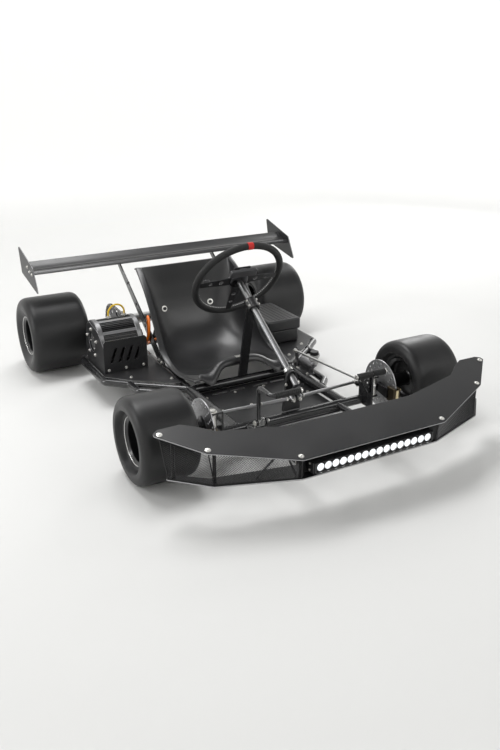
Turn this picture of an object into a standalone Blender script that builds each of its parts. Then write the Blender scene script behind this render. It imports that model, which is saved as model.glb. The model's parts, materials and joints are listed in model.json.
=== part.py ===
"""A low racing kart with an electric motor, a rear wing and a light bar in its nose.

Metres, +Z up. The nose points along -Y and the driver's left is +X. The origin is on the
ground, in the middle of the kart's length and width.
"""
import math

import bmesh
import bpy
from mathutils import Matrix, Vector

# Driving dimensions. Each is one that can be set by itself.
WHEELBASE = 0.980
NOSE_REACH = 0.400          # front axle to the nose plate's front edge
FRONT_OVER_TYRES = 1.102
REAR_OVER_TYRES = 1.148
FRONT_TYRE_OD = 0.257
FRONT_TYRE_W = 0.176
REAR_TYRE_OD = 0.280
REAR_TYRE_W = 0.213
RIM_SEAT_R = 0.0635         # five inch bead seat
RIM_FLANGE_R = 0.0725
TYRE_WALL = 0.006
GAP = 0.0003                # between solids that touch
TOUCH = 0.0002              # between a coped end's flats and the bar it is welded to

TUBE_R = 0.015
SIDE_TUBE_R = 0.0125
HORN_R = 0.011
FRAME_TOP = 0.095           # height of the frame tubes' tops
RAIL_X = 0.195
FRONT_TUBE_Y = 0.020        # behind the front axle
MID_TUBE_Y = 0.350
REAR_TUBE_BACK = 0.110      # ahead of the rear axle
RAIL_TAIL = 0.045           # rail end behind the rear axle

KING_TO_FACE = 0.264        # kingpin to the front tyre's outer face
KINGPIN_R = 0.006
STUB_BARREL_R = 0.0125
STUB_BARREL_H = 0.058
STUB_AXLE_R = 0.0085
RUN = 0.0003                # running clearance of turning fits
STEER_ARM = 0.070
PITMAN_ARM = 0.035
PITMAN_PIN_X = 0.0115
TIE_ROD_R = 0.0055

WHEEL_CENTRE = (0.0, 0.377, 0.428)
COLUMN_ANGLE = math.radians(32.9)
COLUMN_R = 0.010
COLUMN_LENGTH = 0.462
GRIP_RING_R = 0.151
GRIP_TUBE_R = 0.0125

REAR_AXLE_R = 0.020
CHAIN_X = 0.231
CHAIN_PITCH = 0.0127
SPROCKET_TEETH = 34
PINION_TEETH = 11
MOTOR_AHEAD = 0.280         # motor shaft ahead of the rear axle
MOTOR_R = 0.078
MOTOR_LENGTH = 0.155
PLATE = 0.003               # bent sheet

SEAT_SHELL = 0.005
SEAT_FLANGE = 0.020

WING_HALF = 0.530
WING_AHEAD = 0.052          # wing's leading edge ahead of the rear axle
WING_OVER_TYRE = 0.102      # wing's leading edge above the rear tyres

NOSE_SLOPE = math.atan(0.298)
NOSE_EDGE_Z = 0.1807        # top of the nose plate at its front edge
NOSE_PLATE = 0.0045
NOSE_FLOOR_Z = 0.1125       # underside of the nose's lower plate

FRONT_AXLE = -(WHEELBASE + REAR_TYRE_OD / 2 - NOSE_REACH) / 2
REAR_AXLE = FRONT_AXLE + WHEELBASE
FRONT_Z = FRONT_TYRE_OD / 2
REAR_Z = REAR_TYRE_OD / 2
WING_LOW_Z = REAR_TYRE_OD + WING_OVER_TYRE
KING_X = FRONT_OVER_TYRES / 2 - KING_TO_FACE
FRAME_Z = FRAME_TOP - TUBE_R
SIDE_Z = FRAME_TOP - SIDE_TUBE_R
MOTOR_Z = FRAME_TOP + GAP + PLATE + GAP + MOTOR_R

for old in list(bpy.data.objects):
    bpy.data.objects.remove(old)
KART = bpy.data.collections.new("racing_kart")
CUTTERS = bpy.data.collections.new("cutters")
bpy.context.scene.collection.children.link(KART)
bpy.context.scene.collection.children.link(CUTTERS)
CUTTERS.hide_render = True


def front(x, y, z):
    """A point whose y is measured from the front axle, positive to the rear."""
    return Vector((x, FRONT_AXLE + y, z))


def rear(x, y, z):
    """A point whose y is measured from the rear axle, positive to the rear."""
    return Vector((x, REAR_AXLE + y, z))


def finish(name, rgb, roughness, metallic):
    mat = bpy.data.materials.new(name)
    mat.use_nodes = True
    shader = mat.node_tree.nodes["Principled BSDF"]
    shader.inputs["Base Color"].default_value = (*rgb, 1.0)
    shader.inputs["Roughness"].default_value = roughness
    shader.inputs["Metallic"].default_value = metallic
    mat.diffuse_color = (*rgb, 1.0)
    return mat


POWDER_BLACK = (0.012, 0.012, 0.013)
PLATE_BLACK = (0.016, 0.016, 0.017)
TYRE_BLACK = (0.014, 0.014, 0.014)
STEEL = (0.55, 0.55, 0.54)
FINISHES = {
    "powder": (POWDER_BLACK, 0.35, 0.2),
    "plate": (PLATE_BLACK, 0.45, 0.3),
    "rubber": (TYRE_BLACK, 0.55, 0.0),
    "rim": ((0.008, 0.008, 0.008), 0.30, 0.6),
    "steel": (STEEL, 0.25, 1.0),
    "shell": ((0.030, 0.030, 0.032), 0.22, 0.0),
    "grip": ((0.020, 0.020, 0.020), 0.50, 0.0),
    "alloy": ((0.16, 0.16, 0.16), 0.40, 0.9),
    "motor": ((0.030, 0.030, 0.032), 0.40, 0.6),
    "orange": ((0.85, 0.22, 0.05), 0.45, 0.0),
    "yellow": ((0.72, 0.66, 0.30), 0.45, 0.0),
    "light": ((0.80, 0.80, 0.78), 0.20, 0.0),
}


def place(obj, name, kind):
    """Names a finished sub-part, gives it its material and puts it in the kart's collection."""
    obj.name = name
    for holder in list(obj.users_collection):
        holder.objects.unlink(obj)
    KART.objects.link(obj)
    obj.data.materials.clear()
    obj.data.materials.append(finish(name, *FINISHES[kind]))
    return obj


def helper(obj):
    """Keeps a cutter or an operand out of the render."""
    for holder in list(obj.users_collection):
        holder.objects.unlink(obj)
    CUTTERS.objects.link(obj)
    obj.hide_render = True
    obj.display_type = "WIRE"
    return obj


def boolean(obj, other, operation):
    mod = obj.modifiers.new(operation.lower(), "BOOLEAN")
    mod.operation = operation
    mod.solver = "EXACT"
    mod.object = helper(other)
    return obj


def cut(obj, *others):
    for other in others:
        boolean(obj, other, "DIFFERENCE")
    return obj


def fuse(obj, *others):
    for other in others:
        boolean(obj, other, "UNION")
    return obj


def drill(obj, outlines, thickness, matrix):
    """Cuts holes of the given outlines right through a plate of that thickness."""
    over = 0.001
    return cut(obj, flat(outlines, thickness + 2 * over, matrix @ Matrix.Translation((0, 0, -over))))


def room(radius, sides):
    """The radius of a many-sided cutter whose flats clear a round bar of that radius."""
    return (radius + TOUCH) / math.cos(math.pi / sides)


def bore(radius, sides):
    """The radius of a many-sided bore whose flats clear a shaft by the running clearance."""
    return (radius + RUN) / math.cos(math.pi / sides)


def mesh_object(bm, name="piece"):
    mesh = bpy.data.meshes.new(name)
    bm.normal_update()
    bm.to_mesh(mesh)
    bm.free()
    obj = bpy.data.objects.new(name, mesh)
    KART.objects.link(obj)
    return obj


def smooth(obj, angle=40.0):
    """Shades a round piece smooth, with its edges over the angle left sharp."""
    obj.data.shade_smooth()
    obj.data.set_sharp_from_angle(angle=math.radians(angle))
    return obj


def along(start, end):
    """The matrix that puts local Z along the way from start to end, with its origin at start."""
    way = (end - start).normalized()
    turn = way.to_track_quat("Z", "Y").to_matrix().to_4x4()
    return Matrix.Translation(start) @ turn


def rod(start, end, radius, sides=12, end_radius=None):
    """A round bar between two points, or a cone frustum."""
    bm = bmesh.new()
    length = (end - start).length
    bmesh.ops.create_cone(
        bm, cap_ends=True, segments=sides, radius1=radius,
        radius2=radius if end_radius is None else end_radius, depth=length,
        matrix=along(start, end) @ Matrix.Translation((0, 0, length / 2)),
    )
    return smooth(mesh_object(bm))


def block(corner, opposite, round_by=0.0):
    """A box between two opposite corners, its edges rounded by a Bevel."""
    bm = bmesh.new()
    scale = Matrix.Diagonal([abs(size) for size in opposite - corner] + [1.0])
    bmesh.ops.create_cube(bm, size=1.0, matrix=Matrix.Translation((corner + opposite) / 2) @ scale)
    obj = mesh_object(bm)
    if round_by:
        mod = obj.modifiers.new("edges", "BEVEL")
        mod.width = round_by
        mod.segments = 1
        mod.limit_method = "ANGLE"
    return obj


def baked(source):
    """The evaluated mesh of a curve as a mesh object, with its caps welded."""
    bpy.context.view_layer.update()
    graph = bpy.context.evaluated_depsgraph_get()
    mesh = bpy.data.meshes.new_from_object(source.evaluated_get(graph))
    bm = bmesh.new()
    bm.from_mesh(mesh)
    bmesh.ops.remove_doubles(bm, verts=bm.verts, dist=0.00001)
    bm.to_mesh(mesh)
    bm.free()
    obj = bpy.data.objects.new("piece", mesh)
    obj.matrix_world = source.matrix_world
    KART.objects.link(obj)
    bpy.data.objects.remove(source)
    return obj


def flat(outlines, thickness, matrix):
    """A plate from a closed outline and the outlines of its holes, thickness along local +Z."""
    curve = bpy.data.curves.new("outline", "CURVE")
    curve.dimensions = "2D"
    curve.fill_mode = "BOTH"
    curve.extrude = thickness / 2
    for outline in outlines:
        spline = curve.splines.new("POLY")
        spline.points.add(len(outline) - 1)
        for point, (u, v) in zip(spline.points, outline):
            point.co = (u, v, 0.0, 1.0)
        spline.use_cyclic_u = True
    obj = bpy.data.objects.new("outline", curve)
    obj.matrix_world = matrix @ Matrix.Translation((0, 0, thickness / 2))
    KART.objects.link(obj)
    return baked(obj)


def circle(u, v, radius, sides=12):
    turn = 2 * math.pi / sides
    return [(u + radius * math.cos(i * turn), v + radius * math.sin(i * turn)) for i in range(sides)]


def slot(u, v, length, width, lean=0.0):
    """A slot with cut corners, its length along u, leaning by lean at its top."""
    a, b, c = length / 2, width / 2, min(length, width) / 4
    corners = [(-a + c, -b), (a - c, -b), (a, -b + c), (a, b - c), (a - c, b), (-a + c, b), (-a, b - c), (-a, -b + c)]
    return [(u + p + lean * q / b, v + q) for p, q in corners]


def mirrored(half):
    """A closed outline from its half at u >= 0, listed from the front middle round to the rear middle."""
    return half + [(-u, v) for u, v in reversed(half) if u > 1e-6]


def arc_corner(before, corner, after, radius, steps):
    """Points of a rounded corner."""
    to_a = (before - corner).normalized()
    to_b = (after - corner).normalized()
    half = to_a.angle(to_b) / 2
    reach = radius / math.tan(half)
    middle = (to_a + to_b).normalized() * (radius / math.sin(half))
    centre = corner + middle
    first = corner + to_a * reach - centre
    last = corner + to_b * reach - centre
    sweep = first.angle(last)
    points = []
    for i in range(steps + 1):
        part = i / steps
        a = math.sin((1 - part) * sweep) / math.sin(sweep)
        b = math.sin(part * sweep) / math.sin(sweep)
        points.append(centre + first * a + last * b)
    return points


def bent(points, radius, steps=2):
    """A route whose inner corners are bent to a radius."""
    route = [points[0]]
    for before, corner, after in zip(points, points[1:], points[2:]):
        route += arc_corner(before, corner, after, radius, steps)
    return route + [points[-1]]


def tube(route, radius, resolution=2):
    """A bar of round section along a route, as a curve with a bevel, made a mesh."""
    curve = bpy.data.curves.new("route", "CURVE")
    curve.dimensions = "3D"
    curve.bevel_depth = radius
    curve.bevel_resolution = resolution
    curve.use_fill_caps = True
    spline = curve.splines.new("POLY")
    spline.points.add(len(route) - 1)
    for point, at in zip(spline.points, route):
        point.co = (*at, 1.0)
    obj = bpy.data.objects.new("route", curve)
    KART.objects.link(obj)
    return smooth(baked(obj))


def smooth_route(points, per_span=4):
    """A Catmull-Rom curve through a cable's own points."""
    ends = [2 * points[0] - points[1]] + points + [2 * points[-1] - points[-2]]
    route = []
    for a, b, c, d in zip(ends, ends[1:], ends[2:], ends[3:]):
        for i in range(per_span):
            t = i / per_span
            route.append(0.5 * (2 * b + (c - a) * t + (2 * a - 5 * b + 4 * c - d) * t * t + (3 * b - a - 3 * c + d) * t ** 3))
    return route + [points[-1]]


def turned(profile, matrix, steps=20):
    """A lathe part: a closed profile of (radius, height), turned about local Z by a Screw modifier."""
    bm = bmesh.new()
    verts = [bm.verts.new((r, 0.0, h)) for r, h in profile]
    for a, b in zip(verts, verts[1:] + verts[:1]):
        bm.edges.new((a, b))
    obj = mesh_object(bm)
    obj.matrix_world = matrix
    mod = obj.modifiers.new("turn", "SCREW")
    mod.steps = steps
    mod.render_steps = steps
    mod.use_merge_vertices = True
    mod.merge_threshold = 0.00005
    mod.use_smooth_shade = True
    return obj


def outward(side, x, y, z):
    """The matrix of an axle whose local +Z points away from the kart's middle on that side."""
    return Matrix.Translation((side * x, y, z)) @ Matrix.Rotation(side * math.pi / 2, 4, "Y")


SIDES = {"right": -1, "left": 1}
UPRIGHT_YZ = Matrix(((0, 0, 1, 0), (1, 0, 0, 0), (0, 1, 0, 0), (0, 0, 0, 1)))


def in_yz(x, y=0.0, z=0.0):
    """The matrix of a plate drawn in Y and Z, its thickness along +X from x."""
    return Matrix.Translation((x, y, z)) @ UPRIGHT_YZ


def in_xz(y, x=0.0, z=0.0):
    """The matrix of a plate drawn in X and Z, its thickness along -Y from y."""
    return Matrix.Translation((x, y, z)) @ Matrix.Rotation(math.pi / 2, 4, "X")


def in_xy(z, y=0.0):
    return Matrix.Translation((0, y, z))


# Frame: round steel tubes, each coped to fit the one it is welded to.
def frame():
    tube_half = KING_X - YOKE_BACK - GAP
    front_tube = rod(front(-tube_half, FRONT_TUBE_Y, FRAME_Z), front(tube_half, FRONT_TUBE_Y, FRAME_Z), TUBE_R)
    place(front_tube, "front_tube", "powder")

    def cope(x0, y0, x1, y1, radius, z=FRAME_Z):
        return rod(Vector((x0, y0, z)), Vector((x1, y1, z)), room(radius, 16), 16)

    reach = 0.1
    for name, side in SIDES.items():
        rail = rod(front(side * RAIL_X, FRONT_TUBE_Y, FRAME_Z), rear(side * RAIL_X, RAIL_TAIL, FRAME_Z), TUBE_R)
        y = FRONT_AXLE + FRONT_TUBE_Y
        cut(rail, cope(-KING_X, y, KING_X, y, TUBE_R))
        place(rail, f"{name}_rail", "powder")
    crossings = (("mid_tube", FRONT_AXLE + MID_TUBE_Y), ("rear_tube", REAR_AXLE - REAR_TUBE_BACK))
    for name, y in crossings:
        cross = rod(Vector((-RAIL_X, y, FRAME_Z)), Vector((RAIL_X, y, FRAME_Z)), TUBE_R)
        for side in SIDES.values():
            cut(cross, cope(side * RAIL_X, y - reach, side * RAIL_X, y + reach, TUBE_R))
        place(cross, name, "powder")


def rail_cutter(side):
    """The room that a rail takes in what is welded or clamped to it."""
    return rod(front(side * RAIL_X, 0.0, FRAME_Z), rear(side * RAIL_X, 0.2, FRAME_Z), room(TUBE_R, 20), 20)


# Side bars: a bent tube from the rail round the pod and back, with a brace and a cross bar.
def side_bar(name, side):
    def at(x, y, z=SIDE_Z):
        return front(side * x, y, z)

    pod_rear = WHEELBASE - POD_REAR_BACK
    bar = [at(RAIL_X, 0.155), at(0.241, 0.205), at(0.251, 0.335), at(POD_KNEE_X, 0.421), at(POD_KNEE_X, 0.485),
           at(POD_X, 0.550), at(POD_X, pod_rear), at(RAIL_X, pod_rear)]
    obj = tube(bent(bar, 0.022), SIDE_TUBE_R)
    brace = rod(at(RAIL_X, 0.352), at(POD_KNEE_X - 0.002, 0.482), SIDE_TUBE_R - 0.001, 8)
    cross = rod(at(RAIL_X, POD_CROSS_Y), at(POD_X, POD_CROSS_Y), SIDE_TUBE_R - 0.001, 8)
    fuse(obj, brace, cross)
    inner = block(front(side * RAIL_X, 0.0, 0.0), rear(0.0, 0.2, 0.2))
    cut(obj, inner, rail_cutter(side))
    place(obj, f"{name}_side_bar", "powder")


POD_X = 0.422
POD_KNEE_X = 0.352
POD_REAR_BACK = 0.190       # the pod's rear bar ahead of the rear axle
POD_CROSS_Y = 0.575
YOKE_BACK = 0.030           # kingpin to the yoke's inner face
YOKE_WALL = 0.006


# Horns: the two tubes that carry the nose and the pedals' brackets.
def horn(name, side):
    def at(y, z):
        return front(side * HORN_X, y, z)

    top = NOSE_FLOOR_Z - GAP - HORN_R
    obj = tube(bent([at(FRONT_TUBE_Y, FRAME_Z), at(-0.060, FRAME_Z + 0.002), at(-0.235, top), at(-0.345, top)], 0.05), HORN_R)
    cut(obj, rod(front(-KING_X, FRONT_TUBE_Y, FRAME_Z), front(KING_X, FRONT_TUBE_Y, FRAME_Z), room(TUBE_R, 18), 18))
    behind = block(front(side * HORN_X - 0.05, FRONT_TUBE_Y, 0.0), front(side * HORN_X + 0.05, FRONT_TUBE_Y + 0.05, 0.2))
    cut(obj, behind)
    pivot = front(side * PEDAL_EAR_X, *((BRAKE_PIVOT_Y, BRAKE_PIVOT_Z) if side > 0 else (THROTTLE_PIVOT_Y, THROTTLE_PIVOT_Z)))
    half, foot = 0.016, 0.026
    drop = pivot.z - (FRAME_Z + 0.008)
    ear = [(-foot, -drop), (foot, -drop), (half, 0.0), (half * 0.6, half * 0.8), (-half * 0.6, half * 0.8), (-half, 0.0)]
    plate = flat([ear], PEDAL_EAR, in_yz(pivot.x - PEDAL_EAR / 2, pivot.y, pivot.z))
    away = Vector((PEDAL_EAR / 2 + PEDAL_BARREL + 0.003, 0, 0)) * (-1)
    pin = rod(pivot, pivot + away, PEDAL_PIN_R, 10)
    fuse(obj, plate, pin)
    place(obj, f"{name}_horn", "powder")


HORN_X = 0.165
PEDAL_EAR_X = 0.168
PEDAL_EAR = 0.006
PEDAL_PIN_R = 0.005
PEDAL_BARREL = 0.030
PEDAL_BARREL_R = 0.0095
THROTTLE_PIVOT_Y = -0.100
THROTTLE_PIVOT_Z = 0.150
BRAKE_PIVOT_Y = -0.165
BRAKE_PIVOT_Z = 0.138
PEDAL_BAR_Y = -0.170
PEDAL_BAR_Z = 0.2565
PEDAL_IN_X = 0.093
PEDAL_OUT_X = 0.197
ROD_PIN_Z = 0.215


def pedal_barrel(pivot, outer_x):
    """The tube that turns on the pin of the horn's ear."""
    start = Vector((outer_x, pivot.y, pivot.z))
    sides = 12
    hole = bore(PEDAL_PIN_R, sides)
    profile = [(PEDAL_BARREL_R, PEDAL_BARREL), (PEDAL_BARREL_R, 0.0), (hole, 0.0), (hole, PEDAL_BARREL)]
    return turned(profile, Matrix.Translation(start) @ Matrix.Rotation(-math.pi / 2, 4, "Y"), sides)


def pedals():
    pivot = front(-PEDAL_EAR_X, THROTTLE_PIVOT_Y, THROTTLE_PIVOT_Z)
    outer = -PEDAL_EAR_X - PEDAL_EAR / 2 - GAP
    throttle = pedal_barrel(pivot, outer)
    x = outer - PEDAL_BARREL / 2 - 0.003
    arm_top = PEDAL_BAR_Z + 0.004
    route = [front(x, THROTTLE_PIVOT_Y, THROTTLE_PIVOT_Z + PEDAL_PIN_R + 0.002), front(x, THROTTLE_PIVOT_Y + 0.004, arm_top),
             front(x - 0.001, PEDAL_BAR_Y, PEDAL_BAR_Z), front(-PEDAL_IN_X, PEDAL_BAR_Y, PEDAL_BAR_Z)]
    fuse(throttle, tube(bent(route, 0.016), 0.0065, 1))
    fuse(throttle, foot_sleeve(-PEDAL_OUT_X + 0.018, -PEDAL_IN_X - 0.004))
    place(throttle, "throttle_pedal", "powder")

    pivot = front(PEDAL_EAR_X, BRAKE_PIVOT_Y, BRAKE_PIVOT_Z)
    outer = PEDAL_EAR_X - PEDAL_EAR / 2 - GAP
    brake = pedal_barrel(pivot, outer)
    x = outer - PEDAL_BARREL / 2
    arm = [(-0.011, 0.006), (0.011, 0.006), (0.008, PEDAL_BAR_Z - BRAKE_PIVOT_Z), (-0.008, PEDAL_BAR_Z - BRAKE_PIVOT_Z)]
    fuse(brake, flat([arm], 0.007, in_yz(x - 0.0035, pivot.y, pivot.z)))
    fuse(brake, rod(front(PEDAL_IN_X, PEDAL_BAR_Y, PEDAL_BAR_Z), front(PEDAL_OUT_X, PEDAL_BAR_Y, PEDAL_BAR_Z), 0.0065, 8))
    fuse(brake, foot_sleeve(PEDAL_IN_X + 0.006, PEDAL_OUT_X - 0.004))
    gusset = [(PEDAL_IN_X + 0.010, PEDAL_BAR_Z), (x, PEDAL_BAR_Z), (x, 0.196), (x - 0.012, 0.200)]
    plate_at = in_xz(FRONT_AXLE + PEDAL_BAR_Y + 0.006)
    fuse(brake, flat([gusset], 0.004, plate_at))
    place(brake, "brake_pedal", "powder")


def foot_sleeve(x0, x1):
    """The rubber sleeve on a pedal's foot bar."""
    return rod(front(x0, PEDAL_BAR_Y, PEDAL_BAR_Z), front(x1, PEDAL_BAR_Y, PEDAL_BAR_Z), 0.0095, 10)


# Floor: a tray under the rails, with a lower panel in front of it.
def floor_tray():
    half = RAIL_X + 0.008
    top = FRAME_Z - TUBE_R - GAP
    back = FRONT_AXLE + MID_TUBE_Y - 0.004
    step = FRONT_AXLE + TRAY_STEP_Y
    nose_end = FRONT_AXLE + FRONT_TUBE_Y - 0.012
    rows = [slot(u, back - 0.030, 0.058, 0.011, 0.004) for u in (-0.104, -0.036, 0.052, 0.120)]
    outline = [(-half, step), (half, step), (half, back), (-half, back)]
    tray = flat([outline], TRAY, in_xy(top - TRAY))
    lower = [(-half + 0.018, nose_end), (half - 0.018, nose_end), (half - 0.018, step + 0.020), (-half + 0.018, step + 0.020)]
    fuse(tray, flat([lower], TRAY, in_xy(top - 2 * TRAY + 0.0005)))
    drill(tray, rows, TRAY, in_xy(top - TRAY))
    place(tray, "floor_tray", "plate")


TRAY = 0.0035
TRAY_STEP_Y = 0.175


# Seat: a one-piece bucket shell with a turned-out rim.
SEAT_CENTRE = ((0.381, 0.158), (0.412, 0.124), (0.470, 0.090), (0.570, 0.077), (0.665, 0.090), (0.740, 0.138),
               (0.783, 0.215), (0.800, 0.300), (0.806, 0.388))
SEAT_RIM = ((0.338, 0.118, 0.168), (0.400, 0.113, 0.186), (0.490, 0.119, 0.190), (0.555, 0.150, 0.190), (0.600, 0.205, 0.188),
            (0.645, 0.268, 0.186), (0.700, 0.326, 0.183), (0.750, 0.366, 0.180), (0.793, 0.392, 0.176))


def spline_at(table, part):
    """A smooth value along a table of tuples, part running from 0 to 1."""
    last = len(table) - 1
    place_on = min(max(part, 0.0), 1.0) * last
    i = min(int(place_on), last - 1)
    t = place_on - i
    a, b = Vector(table[max(i - 1, 0)]), Vector(table[i])
    c, d = Vector(table[i + 1]), Vector(table[min(i + 2, last)])
    return 0.5 * (2 * b + (c - a) * t + (2 * a - 5 * b + 4 * c - d) * t * t + (3 * b - a - 3 * c + d) * t ** 3)


def seat_point(across, up):
    """A point of the shell's inside: across runs -1 to 1, up from the front lip to the top."""
    side = min(max(across, -1.0), 1.0)
    mid_y, mid_z = spline_at(SEAT_CENTRE, up)
    rim_y, rim_z, rim_x = spline_at(SEAT_RIM, up)
    lift = abs(side) ** 3.2
    x = rim_x * math.sin(side * math.pi / 2) ** 1 * (1 - 0.06 * math.sin(side * math.pi) ** 2)
    y = mid_y + (rim_y - mid_y) * lift
    z = mid_z + (rim_z - mid_z) * lift
    channel = math.exp(-((abs(side) - 0.58) / 0.22) ** 2) * max(0.0, 1 - up * 5)
    y -= 0.026 * channel
    z -= 0.024 * channel
    point = front(x, y, z)
    over_side = abs(across) - 1
    if over_side > 0:
        point += Vector((math.copysign(SEAT_FLANGE, across), 0.004, -0.003)) * over_side / SEAT_OVER
    if up < 0:
        roll = -up / SEAT_OVER
        size = SEAT_ROLL * (1 - 0.6 * lift)
        point += Vector((0, -size * math.sin(roll * math.pi / 2), -size * 0.9 * roll * roll))
    if up > 1:
        point += Vector((0, 0.010, -0.002)) * (up - 1) / SEAT_OVER
    return point


SEAT_OVER = 0.10            # how far the flange runs past the shell in the grid's own units
SEAT_ACROSS = (0.64, 0.82, 0.93, 1.0, 1.0 + SEAT_OVER)
SEAT_ROLL = 0.022           # the front lip's roll, forward and down
SEAT_UP = (-SEAT_OVER, -SEAT_OVER / 2, 0.0, 0.07, 0.15, 0.26, 0.38, 0.47, 0.55, 0.63)
SEAT_BACK = (0.82, 0.91, 1.0, 1.0 + SEAT_OVER)


def bolt_in_grid():
    """The place of a seat bolt in the shell's own grid, so that a corner of its facets falls there."""
    across, up = 0.36, 0.74
    for _ in range(12):
        point = seat_point(across, up)
        across += (SEAT_BOLT_X - point.x) * 4.0
        up += (SEAT_BOLT_Z - point.z) * 1.2
    return across, up


def seat():
    across, bolt_up = bolt_in_grid()
    half = [across, *SEAT_ACROSS]
    columns = [-side for side in reversed(half)] + [0.0] + half
    rows = [*SEAT_UP, bolt_up, *SEAT_BACK]
    bm = bmesh.new()
    bmesh.ops.create_grid(bm, x_segments=len(columns) - 1, y_segments=len(rows) - 1, size=1.0)
    for vert in bm.verts:
        i = round((vert.co.x + 1) / 2 * (len(columns) - 1))
        j = round((vert.co.y + 1) / 2 * (len(rows) - 1))
        vert.co = seat_point(columns[i], rows[j])
    shell = smooth(mesh_object(bm), 60)
    mod = shell.modifiers.new("wall", "SOLIDIFY")
    mod.thickness = SEAT_SHELL
    mod.offset = -1
    for side in SIDES.values():
        at, out = seat_bolt(side)
        cut(shell, rod(at - out * 0.02, at + out * 0.02, SEAT_BOLT_R + GAP, 12))
    place(shell, "seat_shell", "shell")


SEAT_BOLT_R = 0.004
SEAT_BOLT_X = 0.095
SEAT_BOLT_Z = 0.228


def seat_bolt(side):
    """Where a seat bolt goes through the shell's inside, and the way out of the back there."""
    across, up = bolt_in_grid()
    point = seat_point(side * across, up)
    step = 0.04
    over = seat_point(side * across + step, up) - seat_point(side * across - step, up)
    rise = seat_point(side * across, up + step) - seat_point(side * across, up - step)
    out = over.cross(rise).normalized()
    return point, out if out.y > 0 else -out


# Seat stays: bars from the rear tube to the shell's back, with a bolt through the shell.
def seat_stay(name, side):
    at, out = seat_bolt(side)
    face = at - out * SEAT_WASHER_OFF
    back = at + out * 0.034
    bolt = rod(face - out * (SEAT_WASHER + 0.004), back, SEAT_BOLT_R, 8)
    fuse(bolt, rod(face - out * SEAT_WASHER, face, 0.0100, 12))
    foot = Vector((side * (SEAT_BOLT_X + 0.012), REAR_AXLE - REAR_TUBE_BACK, FRAME_TOP - 0.004))
    bar = [back - out * 0.006 + Vector((0, 0, 0.012)), back - out * 0.006 + Vector((0, 0, -0.02)), foot]
    fuse(bolt, tube(bent(bar, 0.02), 0.008, 1))
    y = REAR_AXLE - REAR_TUBE_BACK
    cut(bolt, rod(Vector((-RAIL_X, y, FRAME_Z)), Vector((RAIL_X, y, FRAME_Z)), room(TUBE_R, 16), 16))
    place(bolt, f"{name}_seat_stay", "powder")


SEAT_WASHER_OFF = 0.0032    # clears the facets of the hollow back
SEAT_WASHER = 0.0025


# Steering: a wheel on a sloping column that turns in a post's block and in a foot's plate.
def column_at(s, down=0.0, x=0.0):
    """A point s along the column from the wheel's centre, negative to the nose, and down across it."""
    c, n = math.cos(COLUMN_ANGLE), math.sin(COLUMN_ANGLE)
    return front(*WHEEL_CENTRE) + Vector((x, s * c + down * n, s * n - down * c))


def column_matrix(s):
    """Local Z runs up the column, local Y down across it and local X to the kart's left."""
    c, n = math.cos(COLUMN_ANGLE), math.sin(COLUMN_ANGLE)
    turn = Matrix(((1, 0, 0, 0), (0, n, c, 0), (0, -c, n, 0), (0, 0, 0, 1)))
    return Matrix.Translation(column_at(s)) @ turn


POST_AT = -0.114
FOOT_AT = -0.409
PITMAN_AT = -0.4515
PITMAN = 0.005
POST_W = 0.032
POST_T = 0.008


def steering_wheel():
    ring = []
    sides = 8
    for i in range(sides):
        a = -2 * math.pi * (i + 0.5) / sides
        ring.append((GRIP_RING_R + GRIP_TUBE_R * math.cos(a), GRIP_TUBE_R * 0.92 * math.sin(a)))
    wheel = turned(ring, column_matrix(0.0), 24)
    hole = bore(COLUMN_R, 16)
    hub = turned([(0.033, 0.006), (0.033, -0.016), (hole, -0.016), (hole, 0.006)], column_matrix(0.0), 16)
    spoke_r = GRIP_RING_R - 0.004
    width = 0.017
    left = [(0.026, -width), (spoke_r, -width * 0.55), (spoke_r, width * 0.55), (0.026, width)]
    holes = [circle(0.064 + 0.038 * i, 0.0, 0.0080 - 0.0012 * i, 6) for i in range(2)]
    turns = [column_matrix(-0.007) @ Matrix.Rotation(turn, 4, "Z") for turn in (0.0, math.pi / 2, math.pi)]
    for turn in turns:
        fuse(wheel, flat([left], 0.004, turn))
    fuse(wheel, hub)
    for turn in turns:
        drill(wheel, holes, 0.004, turn)
    place(wheel, "steering_wheel", "grip")

    bar = flat([rounded_box(0.048, 0.013, 0.005)], 0.012, column_matrix(-0.0225) @ Matrix.Translation((0, -0.046, 0)))
    stem = flat([rounded_box(0.012, 0.012, 0.003)], 0.004, column_matrix(-0.0145) @ Matrix.Translation((0, -0.046, 0)))
    fuse(bar, stem)
    place(bar, "wheel_display", "alloy")


def rounded_box(a, b, r):
    """An outline of half sizes a and b with corners of radius r."""
    points = []
    for k, (u, v) in enumerate(((a - r, b - r), (-a + r, b - r), (-a + r, -b + r), (a - r, -b + r))):
        for i in range(2):
            t = math.pi / 2 * (k + i)
            points.append((u + r * math.cos(t), v + r * math.sin(t)))
    return points


def steering_column():
    shaft = rod(column_at(-COLUMN_LENGTH), column_at(0.004), COLUMN_R)
    tip = PITMAN_PIN_X + 0.010
    top = -COLUMN_R - 0.003
    plate = [(-0.018, top), (0.018, top), (tip, PITMAN_ARM - 0.006), (tip, PITMAN_ARM + 0.004), (0.020, PITMAN_ARM + 0.010),
             (-0.020, PITMAN_ARM + 0.010), (-tip, PITMAN_ARM + 0.004), (-tip, PITMAN_ARM - 0.006)]
    holes = [circle(s * PITMAN_PIN_X, PITMAN_ARM, 0.004, 6) for s in (-1, 1)]
    fuse(shaft, flat([plate], PITMAN, column_matrix(PITMAN_AT - PITMAN / 2)))
    collar = [(0.015, 0.010), (0.015, 0.0), (COLUMN_R - 0.002, 0.0), (COLUMN_R - 0.002, 0.010)]
    fuse(shaft, turned(collar, column_matrix(FOOT_AT + 0.0170), 14))
    drill(shaft, holes, PITMAN, column_matrix(PITMAN_AT - PITMAN / 2))
    place(shaft, "steering_column", "steel")


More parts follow.
